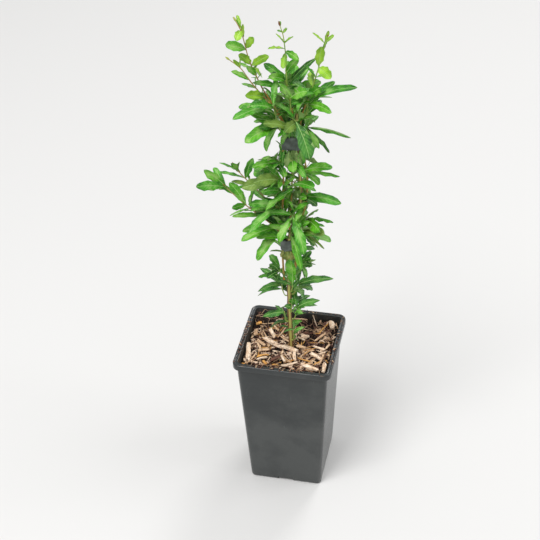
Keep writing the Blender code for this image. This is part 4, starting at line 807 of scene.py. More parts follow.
# Short sprays on a limb: the height and bearing of the foot, the stem's reach and rise, and the leaves as above
SPRAYS = (
    Spray("spray_foot_front", "main_stem", 208, 296, 6, 22, 13, 1,
          ((1, 198, 8, 12, 4, 0), (0.8, 12, 17, 15, 6, 0), (0.6, 333, 46, 11, 4, 0))),
    Spray("spray_foot_back", "main_stem", 214, 101, 6, 16, 16, 2,
          ((1, 203, 11, 18, 6, 0), (0.6, 9, 13, 18, 8, 0))),
    Spray("spray_low_left", "main_stem", 238, 223, 6, 19, 34, 1,
          ((1, 187, -7, 28, 12, 0), (0.6, 119, 2, 25, 8, 0))),
    Spray("spray_low_right", "main_stem", 240, 343, 6, 20, 36, 1,
          ((1, 337, 33, 37, 12, 0), (0.8, 296, 19, 19, 9, 20), (0.6, 57, -7, 30, 11, 0))),
    Spray("spray_low_back", "main_stem", 250, 73, 6, 20, 36, 4, ()),
    Spray("spray_low_front", "main_stem", 254, 288, 6, 16, 20, 1,
          ((1, 280, 63, 18, 11, 0), (0.6, 212, 37, 14, 9, 0))),
    Spray("spray_knee_left", "main_stem", 277, 180, 6, 18, 44, 1,
          ((1, 221, 15, 41, 11, 0), (0.6, 155, -31, 41, 9, 20))),
    Spray("spray_knee_right", "main_stem", 279, 0, 7, 15, 46, 1,
          ((1, 348, 18, 48, 13, 0), (0.8, 41, -36, 34, 14, 0), (0.6, 54, -59, 34, 14, 0))),
    Spray("spray_knee_front", "main_stem", 286, 296, 6, 13, 32, 1,
          ((1, 250, 80, 47, 18, 0), (0.6, 31, 35, 14, 8, 0))),
    Spray("spray_knee_back", "main_stem", 280, 72, 6, 19, 42, 4, ()),
    Spray("spray_neck_left", "bough_left", 318, 220, 6, -3, 29, 1,
          ((1, 221, 51, 25, 11, 0), (0.8, 231, 11, 25, 9, 0), (0.6, 115, 12, 28, 12, 0))),
    Spray("spray_neck_right", "bough_right", 322, 355, 6, 0, 26, 2,
          ((1, 23, 49, 22, 10, 0), (0.87, 339, 46, 19, 9, 0), (0.73, 319, 21, 20, 10, 0),
          (0.6, 11, -69, 23, 9, 0))),
    Spray("spray_neck_back", "bough_back", 330, 65, 6, 6, 32, 4, ()),
    Spray("spray_waist_left", "bough_left", 362, 241, 7, 18, 48, 3,
          ((1, 205, -4, 50, 15, 0), (0.6, 216, -38, 44, 17, 0))),
    Spray("spray_waist_front", "main_stem", 366, 274, 8, 13, 46, 3, ((1, 294, -50, 45, 12, 0),)),
    Spray("spray_waist_right", "bough_right", 370, 310, 6, 9, 44, 3,
          ((1, 318, 14, 36, 16, 0), (0.87, 16, -45, 30, 11, 0), (0.73, 332, -30, 35, 10, 70),
          (0.6, 18, -58, 30, 9, 60))),
    Spray("spray_waist_back", "bough_back", 374, 93, 7, -2, 46, 4, ()),
    Spray("spray_waist_far_right", "bough_right", 388, 14, 6, 0, 44, 3,
          ((1, 327, 13, 38, 10, 40), (0.8, 295, 6, 36, 18, 0), (0.6, 333, 49, 26, 10, 60))),
    Spray("spray_belly_front", "main_stem", 394, 241, 9, 10, 46, 3,
          ((1, 294, -51, 48, 16, 0), (0.8, 226, -45, 35, 14, 0), (0.6, 294, -13, 19, 9, 0))),
    Spray("spray_belly_left", "bough_left", 402, 227, 6, 11, 46, 3,
          ((1, 206, 22, 42, 12, 0), (0.87, 224, -14, 50, 13, 0), (0.73, 177, -72, 36, 14, 0),
          (0.6, 190, -27, 38, 11, 0))),
    Spray("spray_belly_right", "bough_right", 414, 239, 6, 12, 48, 3,
          ((1, 331, 6, 50, 15, 0), (0.8, 27, -43, 26, 10, 60), (0.6, 286, 28, 16, 10, 0))),
    Spray("spray_belly_back", "bough_back", 412, 117, 9, -9, 48, 4, ()),
    Spray("spray_belly_far", "bough_back", 432, 33, 15, -6, 44, 4, ()),
    Spray("spray_chest_low", "bough_left", 422, 259, 6, 12, 44, 3,
          ((1, 227, 27, 36, 12, 0), (0.6, 135, -33, 32, 16, 0))),
    Spray("spray_chest_left", "bough_left", 446, 244, 6, 3, 46, 3,
          ((1, 217, 19, 42, 19, -15), (0.8, 139, -7, 43, 18, 0), (0.6, 259, 14, 24, 10, 0))),
    Spray("spray_chest_front", "main_stem", 438, 229, 11, 10, 44, 3,
          ((1, 309, 19, 37, 21, -18), (0.87, 54, -27, 36, 12, 0), (0.73, 86, -67, 34, 10, 0),
          (0.6, 142, -70, 44, 12, 0))),
    Spray("spray_chest_right", "bough_right", 454, 197, 6, 7, 46, 3,
          ((1, 338, 18, 38, 16, 0), (0.87, 29, 2, 36, 14, 0), (0.73, 335, 6, 46, 10, 70),
          (0.6, 43, -54, 32, 11, 0))),
    Spray("spray_throat_left", "bough_left", 468, 217, 6, 2, 42, 3,
          ((1, 217, 16, 40, 12, 0), (0.8, 130, -16, 38, 10, 40), (0.6, 308, -50, 16, 11, 0))),
    Spray("spray_throat_back", "bough_back", 466, 60, 10, -1, 42, 4, ()),
    Spray("spray_throat_front", "main_stem", 470, 230, 11, 10, 34, 3,
          ((1, 271, 2, 26, 14, 20), (0.6, 293, 0, 34, 11, 0))),
    Spray("spray_shoulder_left", "bough_left", 511, 213, 8, 12, 46, 3,
          ((1, 218, -4, 48, 18, 0), (0.87, 157, -66, 40, 14, -22), (0.73, 142, -6, 36, 14, 0),
          (0.6, 218, 23, 32, 13, 0))),
    Spray("spray_shoulder_front", "main_stem", 514, 270, 8, 18, 50, 3,
          ((1, 302, -53, 45, 21, 0), (0.8, 240, 3, 26, 15, 0), (0.6, 147, -50, 34, 10, 0))),
    Spray("spray_shoulder_right", "bough_right", 514, 338, 6, 3, 48, 3,
          ((1, 331, 1, 56, 11, 76), (0.87, 317, -46, 28, 10, 30), (0.73, 9, -53, 46, 10, 70),
          (0.6, 50, 9, 26, 9, 20))),
    Spray("spray_shoulder_back", "bough_back", 512, 76, 9, 6, 46, 4, ()),
    Spray("spray_crown_left", "bough_left", 525, 231, 13, 27, 44, 3,
          ((1, 205, -4, 50, 14, 0), (0.8, 206, 21, 36, 15, 0), (0.6, 158, 1, 44, 13, 0))),
    Spray("spray_crown_front", "bough_centre", 540, 258, 8, 21, 34, 3,
          ((1, 318, 35, 30, 17, 0), (0.8, 202, 62, 25, 14, 0), (0.6, 318, 27, 14, 8, 0))),
    Spray("spray_crown_right", "bough_right", 532, 310, 10, 25, 46, 3,
          ((1, 310, 48, 32, 14, 0), (0.87, 340, 25, 62, 11, 20), (0.73, 309, 9, 40, 12, 35),
          (0.6, 63, -17, 24, 10, 0))),
    Spray("spray_crown_back", "bough_back", 534, 17, 18, 23, 36, 3,
          ((1, 155, 38, 44, 13, 0), (0.87, 73, 45, 32, 13, 0), (0.73, 24, 39, 38, 13, 0),
          (0.6, 10, 22, 41, 17, 0))),
    Spray("spray_crown_high", "bough_centre", 551, 127, 6, 24, 30, 3,
          ((1, 213, 28, 26, 12, 0), (0.87, 146, -24, 26, 11, 0), (0.73, 20, 35, 31, 9, 0),
          (0.6, 21, 38, 48, 8, 30))),
)

# Turns, in degrees, and lifts of its foot that a blocked spray tries
SPRAY_TRIES = ((0, 0), (15, 0), (-15, 0), (0, -5), (0, 5), (30, 0), (-30, 0), (30, -5), (-30, -5), (50, 5), (-50, 5))

# Changes of bearing and tilt, in degrees, and share of length that a blocked leaf tries
LEAF_TRIES = ((0, 0, 1.0), (9, 5, 1.0), (-9, 5, 1.0), (9, -7, 1.0), (-9, -7, 1.0), (0, 16, 1.0), (0, -16, 1.0),
              (20, 8, 0.95), (-20, 8, 0.95), (24, -14, 0.9), (-24, -14, 0.9), (40, 0, 0.85), (-40, 0, 0.85))


def bezier(start, knee, tip, count):
    """So many points of a quadratic Bezier curve."""
    t = np.linspace(0, 1, count)[:, None]
    return (1 - t) ** 2 * start + 2 * t * (1 - t) * knee + t**2 * tip


def twig_path_of_spray(spray, turn, lift):
    """A short stem that leaves its limb squarely and curves up."""
    foot, out = foot_on(spray.limb, spray.foot + lift, spray.bearing + turn)
    tip = foot + bearing_vector(spray.bearing + turn) * spray.reach + UP * spray.rise
    return np.vstack([foot, bezier(foot + out * 1.3, foot + out * spray.reach * 0.6, tip, TWIG_POINTS)])


def twig_path_of_shoot(shoot):
    """A long stem that carries on from the tip of its limb, one gap clear."""
    path, _ = limbs[shoot.limb]
    foot = path[-1] + unit(path[-1] - path[-2]) * (GAP + 0.1)
    return smooth_path([foot, *[placed(p) for p in shoot.points]], LIMB_STEP)


def twig_radii(path):
    return np.linspace(TWIG_RADIUS, TWIG_TIP_RADIUS, len(path))


def places_on_stem(path, shares):
    """(places, directions, radii) at these shares of a stem, the last of them just short of its tip."""
    lengths = lengths_along(path)
    wanted = np.clip(np.asarray(shares) * lengths[-1], FIRST_LEAF, lengths[-1] - LAST_LEAF)
    places, ahead, behind = (on_path(path, lengths, wanted + shift) for shift in (0, 1, -1))
    ways = ahead - behind
    return places, ways / np.linalg.norm(ways, axis=1)[:, None], np.interp(wanted, lengths, twig_radii(path))


def side_at(stem, angle):
    """The direction square to a stem at this angle round it, counted from the one that is level."""
    level = unit(np.cross(stem, UP)) if abs(stem[2]) < UPRIGHT else bearing_vector(0)
    return math.cos(angle) * level + math.sin(angle) * np.cross(level, stem)


def rolled(normal, way, roll):
    return math.cos(roll) * normal + math.sin(roll) * np.cross(way, normal)


def leaf_on(root, stem, side, length, width, spread, droop, roll):
    """A leaf that leaves its stem at the spread angle, with its upper face turned to the tip and the sky."""
    way = unit(math.cos(spread) * stem + math.sin(spread) * side)
    facing = unit(stem - (stem @ way) * way) + 0.9 * (UP - (UP @ way) * way)
    normal = unit(facing - (facing @ way) * way)
    sag = -UP + 0.25 * side
    down = unit(sag - (sag @ way) * way)
    droop = min(droop, 0.9 * math.acos(max(-1.0, min(1.0, -way[2]))))
    return Leaf(root, way, rolled(normal, way, roll), down, length, width, droop)


def leaf_to(root, bearing, tilt, distance, width, droop, roll):
    """A leaf whose tip lies from its root at this bearing, tilt and distance, and that arches on the way."""
    level = bearing_vector(bearing)
    start = tilt + droop / 2
    way = math.cos(start) * level + math.sin(start) * UP
    down = math.sin(start) * level - math.cos(start) * UP
    length = distance * (droop / 2) / math.sin(droop / 2)
    light = bearing_vector(LIGHT_BEARING) * math.cos(LIGHT_HEIGHT) + UP * math.sin(LIGHT_HEIGHT)
    normal = unit(light - (light @ way) * way)
    return Leaf(root, way, rolled(normal, way, roll), down, length, width, droop)


def bent(way, normal, down, length, droop, t):
    """A midrib that bends evenly by its droop: its places from the root, and the ways beside and above it, at shares t.

    It is an arc of radius length / droop, and its frame turns with it about the axis square to the arc.
    """
    angle = (droop * t)[..., None]
    cos, sin = np.cos(angle), np.sin(angle)
    axis = np.cross(way, down)

    def turned(vector):
        return vector * cos + np.cross(axis, vector) * sin + axis * (axis * vector).sum(-1, keepdims=True) * (1 - cos)

    places = np.asarray(length / droop)[..., None] * (sin * way + (1 - cos) * down)
    return places, turned(np.cross(normal, way)), turned(normal)


def leaf_points(leaf, t, across, lift):
    """Points on one leaf, at shares of its length and half width and lifted by so much."""
    centre, beside, above = bent(leaf.way, leaf.normal, leaf.down, leaf.length, leaf.droop, t)
    return leaf.root + centre + beside * (across * leaf.width / 2)[:, None] + above * lift[:, None]


TEST_RINGS = np.array([(*LEAF_RINGS[0], 0), *[(*ring, side) for ring in LEAF_RINGS[1:-1] for side in (0, 1, -1)],
                       (*LEAF_RINGS[-1], 0)])
TEST_FACES = [(0, 1, 2), (0, 2, 3), (0, 3, 1), *(grid_faces(4, 3, wrap=True)[:, [0, 3, 2, 1]] + 1).tolist(),
              (13, 11, 10), (13, 12, 11), (13, 10, 12)]


def leaf_tree(leaf, first=0.0):
    """A leaf as the test sees it: three-sided rings along its length, grown by the clearance."""
    t, wide, side = TEST_RINGS.T
    across = side * (wide + 2 * CLEAR / leaf.width)
    keel = (side == 0) & (wide > 0)
    lift = np.where(keel, -leaf.length * LEAF_DEPTH * np.minimum(1.0, 0.5 + wide) - CLEAR, CLEAR * (side != 0))
    return BVHTree.FromPolygons(leaf_points(leaf, first + (1 - first) * t, across, lift).tolist(), TEST_FACES)


def tube_tree(path, radii, sides):
    """The surface of a limb or stem, grown for the tests, as open rings joined by squares."""
    angles = np.arange(sides) * math.tau / sides
    points = []
    for place, way, radius in zip(path, np.gradient(path, axis=0), radii):
        beside = unit(np.cross(way, ASIDE))
        above = unit(np.cross(way, beside))
        ring = (radius + CLEAR) * (np.cos(angles)[:, None] * beside + np.sin(angles)[:, None] * above)
        points.extend((place + ring).tolist())
    return BVHTree.FromPolygons(points, grid_faces(len(path), sides, wrap=True).tolist())


def in_the_pot(leaf):
    """True where the leaf would reach into the pot's rim or its filling."""
    t = np.linspace(0.15, 1, 6)
    for across in (-0.8, 0.0, 0.8):
        places = leaf_points(leaf, t, np.full(6, across), np.zeros(6))
        out, height = np.abs(places[:, :2]).max(axis=1), places[:, 2]
        if ((out > RIM_INNER) & (out < RIM_OUTER) & (height < OVER_RIM)).any() or (height < OVER_MULCH).any():
            return True
    return False


class Crown:
    """What stands so far, so that a new leaf can be tested against it."""

    def __init__(self, fixed_trees):
        self.fixed = fixed_trees
        self.stems = []
        self.leaves, self.roots, self.lengths = [], [], []

    def has_room_for_stem(self, tree):
        return not any(tree.overlap(other) for other in (*self.fixed, *[t for _, t in self.stems]))

    def add_if_clear(self, leaf, owner):
        """Adds the leaf, unless it would touch a limb, another mass or the blade of a leaf of its own."""
        if in_the_pot(leaf):
            return False
        whole, blade = leaf_tree(leaf), leaf_tree(leaf, 0.4)
        if any(whole.overlap(tree) for tree in (*self.fixed, *[t for name, t in self.stems if name != owner])):
            return False
        if self.leaves:
            near = np.linalg.norm(np.array(self.roots) - leaf.root, axis=1) <= np.array(self.lengths) + leaf.length
            for index in np.flatnonzero(near):
                name, _, other_whole, other_blade = self.leaves[index]
                if (blade.overlap(other_blade) if name == owner else whole.overlap(other_whole)):
                    return False
        self.leaves.append((owner, leaf, whole, blade))
        self.roots.append(leaf.root)
        self.lengths.append(leaf.length)
        return True

    def add_first_clear(self, leaves, owner):
        """Adds the first of these ways for a leaf to stand that is clear, and says whether there was one."""
        return any(self.add_if_clear(leaf, owner) for leaf in leaves)


def add_set_leaves(mass, path, number):
    """The leaves with given places. One that isn't clear tries a few other ways to stand, or is left out."""
    draw = random.Random(number)
    droop = math.radians(SHOOT_DROOP if isinstance(mass, Shoot) else SPRAY_DROOP)

    def ways_to_stand(share, bearing, tilt, distance, width, roll):
        (place,), (stem,), (radius,) = places_on_stem(path, [share])
        for turn_by, tilt_by, size in LEAF_TRIES:
            way = bearing_vector(bearing + turn_by)
            side = unit(way - (way @ stem) * stem)
            yield leaf_to(place - side * radius * ROOT_INSET, bearing + turn_by, math.radians(tilt + tilt_by),
                          distance * size, width * SET_WIDTH * size, droop, math.radians(roll))

    for *given, roll in mass.leaves:
        crown.add_first_clear(ways_to_stand(*given, roll + draw.uniform(-28, 28)), mass.name)


def faces_set_leaves(mass, side):
    """True on the viewer's side of a mass with set leaves, where the rule adds none."""
    return mass.leaves and side @ TO_VIEWER > 0.1


def add_grown_leaves(mass, path, number):
    """Opposite pairs of leaves, each pair a quarter turn on from the last, shorter towards the tip.

    Where the mass has set leaves, these grow on its far side only.
    """
    draw = random.Random(GROWN_SEED + number)
    is_shoot = isinstance(mass, Shoot)
    spread_angle, droop_angle = (SHOOT_SPREAD, SHOOT_DROOP) if is_shoot else (SPRAY_SPREAD, SPRAY_DROOP)
    last = 0.75 if is_shoot else 1.0
    shares = np.linspace(0.3, last, mass.pairs) if mass.pairs > 1 else [last]

    def ways_to_stand(place, stem, radius, turn, length, width, spread, droop, roll):
        for turn_by, spread_by, size in LEAF_TRIES:
            side = side_at(stem, turn + math.radians(turn_by))
            if not faces_set_leaves(mass, side):
                yield leaf_on(place - side * radius * ROOT_INSET, stem, side, length * size, width * size,
                              spread + math.radians(spread_by), droop, roll)

    start_turn = draw.uniform(0, math.pi)
    for index, where_on_stem in enumerate(zip(*places_on_stem(path, shares))):
        along = index / max(1, mass.pairs - 1)
        for member in (0, 1):
            turn = start_turn + math.pi * member + math.pi / 2 * index + draw.uniform(-0.3, 0.3)
            length = mass.leaf * (1 - 0.25 * along) * draw.uniform(0.86, 1.08)
            width = length * LEAF_SLENDERNESS * draw.uniform(0.88, 1.15)
            spread = math.radians(spread_angle * (1 - 0.35 * along) + draw.uniform(-9, 9))
            droop = math.radians(droop_angle * draw.uniform(0.7, 1.3))
            crown.add_first_clear(ways_to_stand(*where_on_stem, turn, length, width, spread, droop,
                                                draw.uniform(-0.35, 0.35)), mass.name)


def spray_path_in_room(spray):
    """The spray's stem at the first bearing and height, going out from its own, where it is clear."""
    for turn, lift in SPRAY_TRIES:
        path = twig_path_of_spray(spray, turn, lift)
        if crown.has_room_for_stem(tube_tree(path, twig_radii(path), 4)):
            break
    return path


def tree_of_node(name):
    """The CAD solid of this name, for the tests, in millimetres."""
    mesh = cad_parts[name].data
    points = np.empty(len(mesh.vertices) * 3, np.float32)
    mesh.vertices.foreach_get("co", points)
    return BVHTree.FromPolygons((points.reshape(-1, 3).astype(float) / MM).tolist(),
                                [tuple(face.vertices) for face in mesh.polygons])


crown = Crown([*[tube_tree(path, radii, 6) for path, radii in limbs.values()], *map(tree_of_node, TIES)])
masses = (*SHOOTS, *SPRAYS)
twigs = {}
for mass in masses:
    path = twigs[mass.name] = twig_path_of_shoot(mass) if isinstance(mass, Shoot) else spray_path_in_room(mass)
    crown.stems.append((mass.name, tube_tree(path, twig_radii(path), 4)))
for number, mass in enumerate(masses):
    add_set_leaves(mass, twigs[mass.name], number)
set_leaves = len(crown.leaves)
for number, mass in enumerate(masses):
    add_grown_leaves(mass, twigs[mass.name], number)
set_and_grown = len(crown.leaves)

# Carried on by the same rule: short side twigs stand at the nodes of each spray, and spurs at the nodes of the
# boughs, each with a pair of small leaves that fill the inside of the crown.
SideTwig = namedtuple("SideTwig", "owner path")
SMALL_LEAF_TRIES = ((0, 0, 1.0), (40, 10, 0.8), (-40, -10, 0.8), (75, 5, 0.6))
SPUR_HEIGHT, SPUR_START, SPUR_SPACING, SPUR_TURN, SPUR_LEAF = 375, 14, 8, 2.4, 25
UNDER_TIE, OVER_TIE = 8, 4  # no spur stands so near a tie
side_twigs = []


def add_side_twig(owner, place, stem, side, length, leaf, draw):
    """A side twig and its pair of small leaves. It is kept if either leaf has room.

    It leaves its stem between square and along it, and curves up.
    """
    way = unit(0.75 * side + 0.5 * stem)
    path = bezier(place, place + way * length * 0.5, place + length * unit(way + 0.55 * UP), 4)
    (root,), (stem,), _ = places_on_stem(path, [0.45])

    def ways_to_stand(turn, size, spread):
        for turn_by, spread_by, scale in SMALL_LEAF_TRIES:
            out = side_at(stem, turn + math.radians(turn_by))
            yield leaf_on(root - out * 0.2, stem, out, size * scale, size * scale * draw.uniform(0.30, 0.42),
                          spread + math.radians(spread_by), math.radians(draw.uniform(14, 40)),
                          draw.uniform(-0.4, 0.4))

    start_turn = draw.uniform(0, math.pi)
    stands = [crown.add_first_clear(ways_to_stand(start_turn + math.pi * member + draw.uniform(-0.35, 0.35),
                                                  leaf * draw.uniform(0.7, 1.25),
                                                  math.radians(draw.uniform(32, 62))), owner) for member in (0, 1)]
    if any(stands):
        side_twigs.append(SideTwig(owner, path))


for number, mass in enumerate(masses):
    draw = random.Random(SIDE_TWIG_SEED + number)
    if mass.name.startswith("shoot_top"):
        count, last, size = 1, 0.15, 0.5
    elif isinstance(mass, Shoot):
        count, last, size = 3, 0.8, 0.5
    elif mass.name.split("_")[1] in ("foot", "low", "knee"):
        count, last, size = 1, 0.15, 0.6
    else:
        count, last, size = 3, 0.9, 0.62
    places, ways, _ = places_on_stem(twigs[mass.name], np.linspace(0.15, last, count))
    for index, (place, stem) in enumerate(zip(places, ways)):
        for member in (0, 1):
            side = side_at(stem, index * math.pi / 2 + math.pi * member + draw.uniform(-0.6, 0.6))
            if not faces_set_leaves(mass, side):
                add_side_twig(mass.name, place, stem, side, draw.uniform(0.10, 0.26) * mass.leaf,
                              mass.leaf * size, draw)

# Spurs on the boughs, between the heights where the crown is full.
for number, (name, (path, radii)) in enumerate(limbs.items()):
    draw = random.Random(SPUR_SEED + number)
    lengths = lengths_along(path)
    for index, along in enumerate(np.arange(SPUR_START, lengths[-1] - 4, SPUR_SPACING)):
        place = on_path(path, lengths, along)
        if place[2] < SPUR_HEIGHT or any(foot - UNDER_TIE < place[2] < head + OVER_TIE for foot, head in TIES.values()):
            continue
        stem = unit(on_path(path, lengths, along + 1) - place)
        level = unit(np.cross(stem, bearing_vector(0)))
        turn = index * SPUR_TURN + draw.uniform(-0.6, 0.6)
        side = math.cos(turn) * level + math.sin(turn) * np.cross(level, stem)
        for member, side in enumerate((side, -side)):
            if (index + member) % 4 == 0 or side @ TO_VIEWER <= 0:
                root = place + side * (np.interp(along, lengths, radii) - 0.3)
                add_side_twig(name, root, stem, side, draw.uniform(5, 14), SPUR_LEAF, draw)


# The twigs: green where they are new, tan or reddish-brown on the longer shoots, thin and slightly knuckled.
# Each runs on into the limb that carries it.
green_twig = young_bark("green_twig", "76a03e", "a0b956", "b6b062")
tan_twig = young_bark("tan_twig", "8f9a52", "b99a62", "a4643a")
TWIG_SIDES, TWIG_STEP, TWIG_INTO_LIMB = 8, 1.6, 1.2
SIDE_TWIG_SIDES, SIDE_TWIG_RADII = 5, np.linspace(0.45, 0.3, 4)
BROWN_SHOOTS = ["shoot_top_left", "shoot_top_left_low", "shoot_left_low", "shoot_left_high"]
for name, kind, chosen in (("brown_twigs", tan_twig, [name for name in twigs if name in BROWN_SHOOTS]),
                           ("green_twigs", green_twig, [name for name in twigs if name not in BROWN_SHOOTS])):
    parts = []
    for path in map(twigs.get, chosen):
        fine = smooth_path([path[0] - unit(path[1] - path[0]) * TWIG_INTO_LIMB, *path], TWIG_STEP)
        radii = np.interp(lengths_along(fine), lengths_along(path), twig_radii(path))
        parts.append(tube(fine, radii, TWIG_SIDES, RIBBED))
    for twig in side_twigs:
        if twig.owner in chosen or (name == "green_twigs" and twig.owner in limbs):
            parts.append(tube(twig.path, SIDE_TWIG_RADII, SIDE_TWIG_SIDES, 0.0))
    piece(name, joined(parts), [kind], chosen)

# The buds at the tips of the long shoots: pointed, in a few folded scales, yellow-green or reddish-brown.
BUD_PLACES, BUD_RADII = np.array([-0.8, 0.4, 1.6, 3.2, 4.6, 5.4]), np.array([0.5, 0.95, 1.25, 1.05, 0.55, 0.12])
for name, kind, chosen in (("green_buds", young_bark("green_bud", "9fb244", "b3b552", "a8863e"), SHOOTS[:2]),
                           ("brown_buds", young_bark("brown_bud", "a08a3c", "96642f", "6f4224"), SHOOTS[2:])):
    paths = [twigs[shoot.name] for shoot in chosen]
    piece(name, joined([tube(path[-1] + BUD_PLACES[:, None] * unit(path[-1] - path[-2]), BUD_RADII, TWIG_SIDES, 0.08)
                        for path in paths]), [kind])

# The leaves: thick and glossy, folded along a pale sunken midrib, crisped at the margin and matt and paler
# below. Each is a thin closed blade. New ones at the tips are rounder and yellow-green, old ones darker.
# The outlines give the half width at shares of the length, and the columns the places across the blade.
LEAF_T = np.array([0, 0.07, 0.18, 0.32, 0.47, 0.62, 0.77, 0.89, 0.96, 1.0])
MATURE_OUTLINE = np.array([0.09, 0.14, 0.46, 0.76, 0.91, 0.97, 0.93, 0.73, 0.46, 0.12])
YOUNG_OUTLINE = np.array([0.10, 0.17, 0.56, 0.85, 0.96, 0.98, 0.93, 0.74, 0.47, 0.13])
POINTED_OUTLINE = np.array([0.09, 0.20, 0.60, 0.88, 0.98, 0.90, 0.66, 0.36, 0.16, 0.04])
SMALL_T = np.array([0, 0.14, 0.38, 0.64, 0.88, 1.0])
SMALL_OUTLINE = np.array([0.13, 0.30, 0.84, 0.94, 0.62, 0.16])
SMALL_POINTED_OUTLINE = np.array([0.13, 0.38, 0.94, 0.86, 0.40, 0.06])
COLUMNS = np.array([-1, -0.55, -0.01, 0.01, 0.55, 1])
SMALL_COLUMNS = np.array([-1, -0.01, 0.01, 1])
LOW_LEAVES = 297  # leaves that grow lower than this are the pointed ones
BLADE_SHARE = 0.91  # of the width, as the margin's waves reach past it
BLADE, MIDRIB, UNDERSIDE = 0, 1, 2
LEAF_SHARP = math.radians(70)


def leaf_blades(leaves, rows_at, blunt, pointed, columns_at, draw):
    """((points, faces, uv), part of each face) of all these leaves at once.

    The outline is mostly the pointed one on low leaves and mostly the blunt one above. Along each leaf the midrib
    bends evenly by its droop, and across it the two halves rise from the midrib by the fold, belly a little, and
    end in a margin that waves. A keel below closes the blade.
    """
    n, rows, columns = len(leaves), len(rows_at), len(columns_at) + 1
    low = np.array([leaf.root[2] < LOW_LEAVES for leaf in leaves])
    share = np.where(low, draw.uniform(0.7, 1.0, n), draw.uniform(0.0, 0.3, n))[:, None]
    outline = blunt + (pointed - blunt) * share
    root, way, normal, down, length, width, droop = (np.array([leaf[k] for leaf in leaves])[:, None] for k in range(7))
    t = np.broadcast_to(rows_at, (n, rows))
    places, beside, above = bent(way, normal, down, length, droop, t)
    centre = root + places
    twist = (draw.uniform(-0.35, 0.35, (n, 1)) * (t - 0.3))[..., None]
    beside, above = beside * np.cos(twist) + above * np.sin(twist), above * np.cos(twist) - beside * np.sin(twist)
    half = outline * width / 2 * BLADE_SHARE
    fold = np.tan(draw.uniform(0.15, 0.72, (n, 1)) * (1 - 0.4 * t))
    waves = draw.uniform(2.4, 4.0, (n, 1, 2)) * math.tau
    phase = draw.uniform(0, math.tau, (n, 1, 2))
    crisp_size = draw.uniform(0.05, 0.14, (n, 1)) * width * np.sqrt(outline) * np.sin(math.pi * t**0.8)
    crisp = np.sin(waves * t[..., None] + phase) * crisp_size[..., None]
    uneven = 1 + 0.12 * np.sin(waves * t[..., None] + phase + 1.3)
    belly = draw.uniform(0.05, 0.16, (n, 1))
    rib = np.minimum(0.5 * half, 0.07 + 0.022 * width * (1 - 0.75 * t))
    sideways, lifts = [], []
    for across in columns_at:
        margin = 0 if across < 0 else 1
        if abs(across) < 0.1:
            sideways.append(np.sign(across) * rib)
            lifts.append(-0.10 * np.ones_like(half))
        else:
            y = across * half * uneven[..., margin]
            lift = np.abs(y) * fold + belly * half * (1 - (2 * abs(across) - 1) ** 2)
            sideways.append(y)
            lifts.append(lift + crisp[..., margin] * (1.0 if abs(across) == 1 else 0.34))
    sideways.append(0 * half)
    lifts.append(-np.minimum(0.45 * half, 0.25 + 0.011 * length * (1 - 0.6 * t)))
    y, lift = np.stack(sideways, -1), np.stack(lifts, -1)
    points = centre[:, :, None] + y[..., None] * beside[:, :, None] + lift[..., None] * above[:, :, None]
    part_of_column = np.full(columns, BLADE)
    part_of_column[len(columns_at) // 2 - 1] = MIDRIB
    part_of_column[-2:] = UNDERSIDE
    parts = np.concatenate([np.tile(part_of_column, n * (rows - 1)), np.full(2 * n, UNDERSIDE)])
    uv = np.stack(np.broadcast_arrays(t[..., None], np.append(columns_at / 2 + 0.5, 0.5)), -1).reshape(-1, 2)
    return (points.reshape(-1, 3), closed_rings(rows, columns, n), uv), parts


# Leaf skin: a waxy cuticle over green, so it is a dielectric with a clear gloss. The blade is quilted between
# side veins that lean towards the tip, drawn 5 mm apart so that they show, and is lightest beside the midrib:
# partly its own paler tone there, and on the bright and mature leaves a painted sheen.
# The midrib is its own pale green, as is the underside.
def leaf_skin(name, deep, middle, fresh_and_sheen, roughness, vein=0.10, patches=70.0):
    """The veins are sin(18 pi (u - 0.38 |v - 1/2|)), along and across the blade. vein is how much they show."""
    made, tree, shader = new_material(name, middle, roughness, 1.5)
    where = add(tree, "TexCoord").outputs["Object"]
    place = add(tree, "UVMap", uv_map="UVMap")
    split = add(tree, "SeparateXYZ", {"Vector": place})
    from_rib = add(tree, "Math", {0: split.outputs["Y"], 1: 0.5}, operation="SUBTRACT")
    from_rib = add(tree, "Math", {0: from_rib}, operation="ABSOLUTE")
    lean = add(tree, "Math", {0: from_rib, 1: -0.38, 2: split.outputs["X"]}, operation="MULTIPLY_ADD")
    wave = add(tree, "Math", {0: lean, 1: 9 * math.tau}, operation="MULTIPLY")
    wave = add(tree, "Math", {0: wave}, operation="SINE")
    mottle = add(tree, "TexNoise", {"Vector": where, "Scale": patches, "Detail": 3.0, "Roughness": 0.5})
    tone = add(tree, "Math", {0: from_rib, 1: -0.30, 2: mottle}, operation="MULTIPLY_ADD")
    tone = add(tree, "Math", {0: wave, 1: 0.018, 2: tone}, operation="MULTIPLY_ADD")
    # The lightest stop, fresh_and_sheen, is a whitish green on the bright and mature leaves. It is a painted sheen, and
    # it falls beside the midrib.
    ground = add(tree, "ValToRGB", {"Fac": tone}, ((0.26, deep), (0.44, middle), (0.62, fresh_and_sheen)))
    veins = add(tree, "MapRange", {"Value": wave, "From Min": 0.6, "From Max": 1.0})
    veins = add(tree, "Math", {0: veins, 1: vein}, operation="MULTIPLY")
    colour = add(tree, "Mix", {"Factor": veins, "A": ground, "B": linear("9cc46a")}, data_type="RGBA")
    pleats = add(tree, "VectorMath", {0: place, 1: (4.0, 11.0, 0.0)}, operation="MULTIPLY")
    pleats = add(tree, "VectorMath", {0: where, 1: (28.0, 28.0, 28.0), 2: pleats}, operation="MULTIPLY_ADD")
    pucker = add(tree, "TexNoise", {"Vector": pleats, "Scale": 1.0, "Detail": 2.0})
    quilt = add(tree, "Math", {0: wave, 1: -0.10, 2: pucker}, operation="MULTIPLY_ADD")
    relief = add(tree, "Bump", {"Height": quilt, "Strength": 0.9, "Distance": 0.0013})
    feed(shader, {"Base Color": colour, "Normal": relief})
    return made


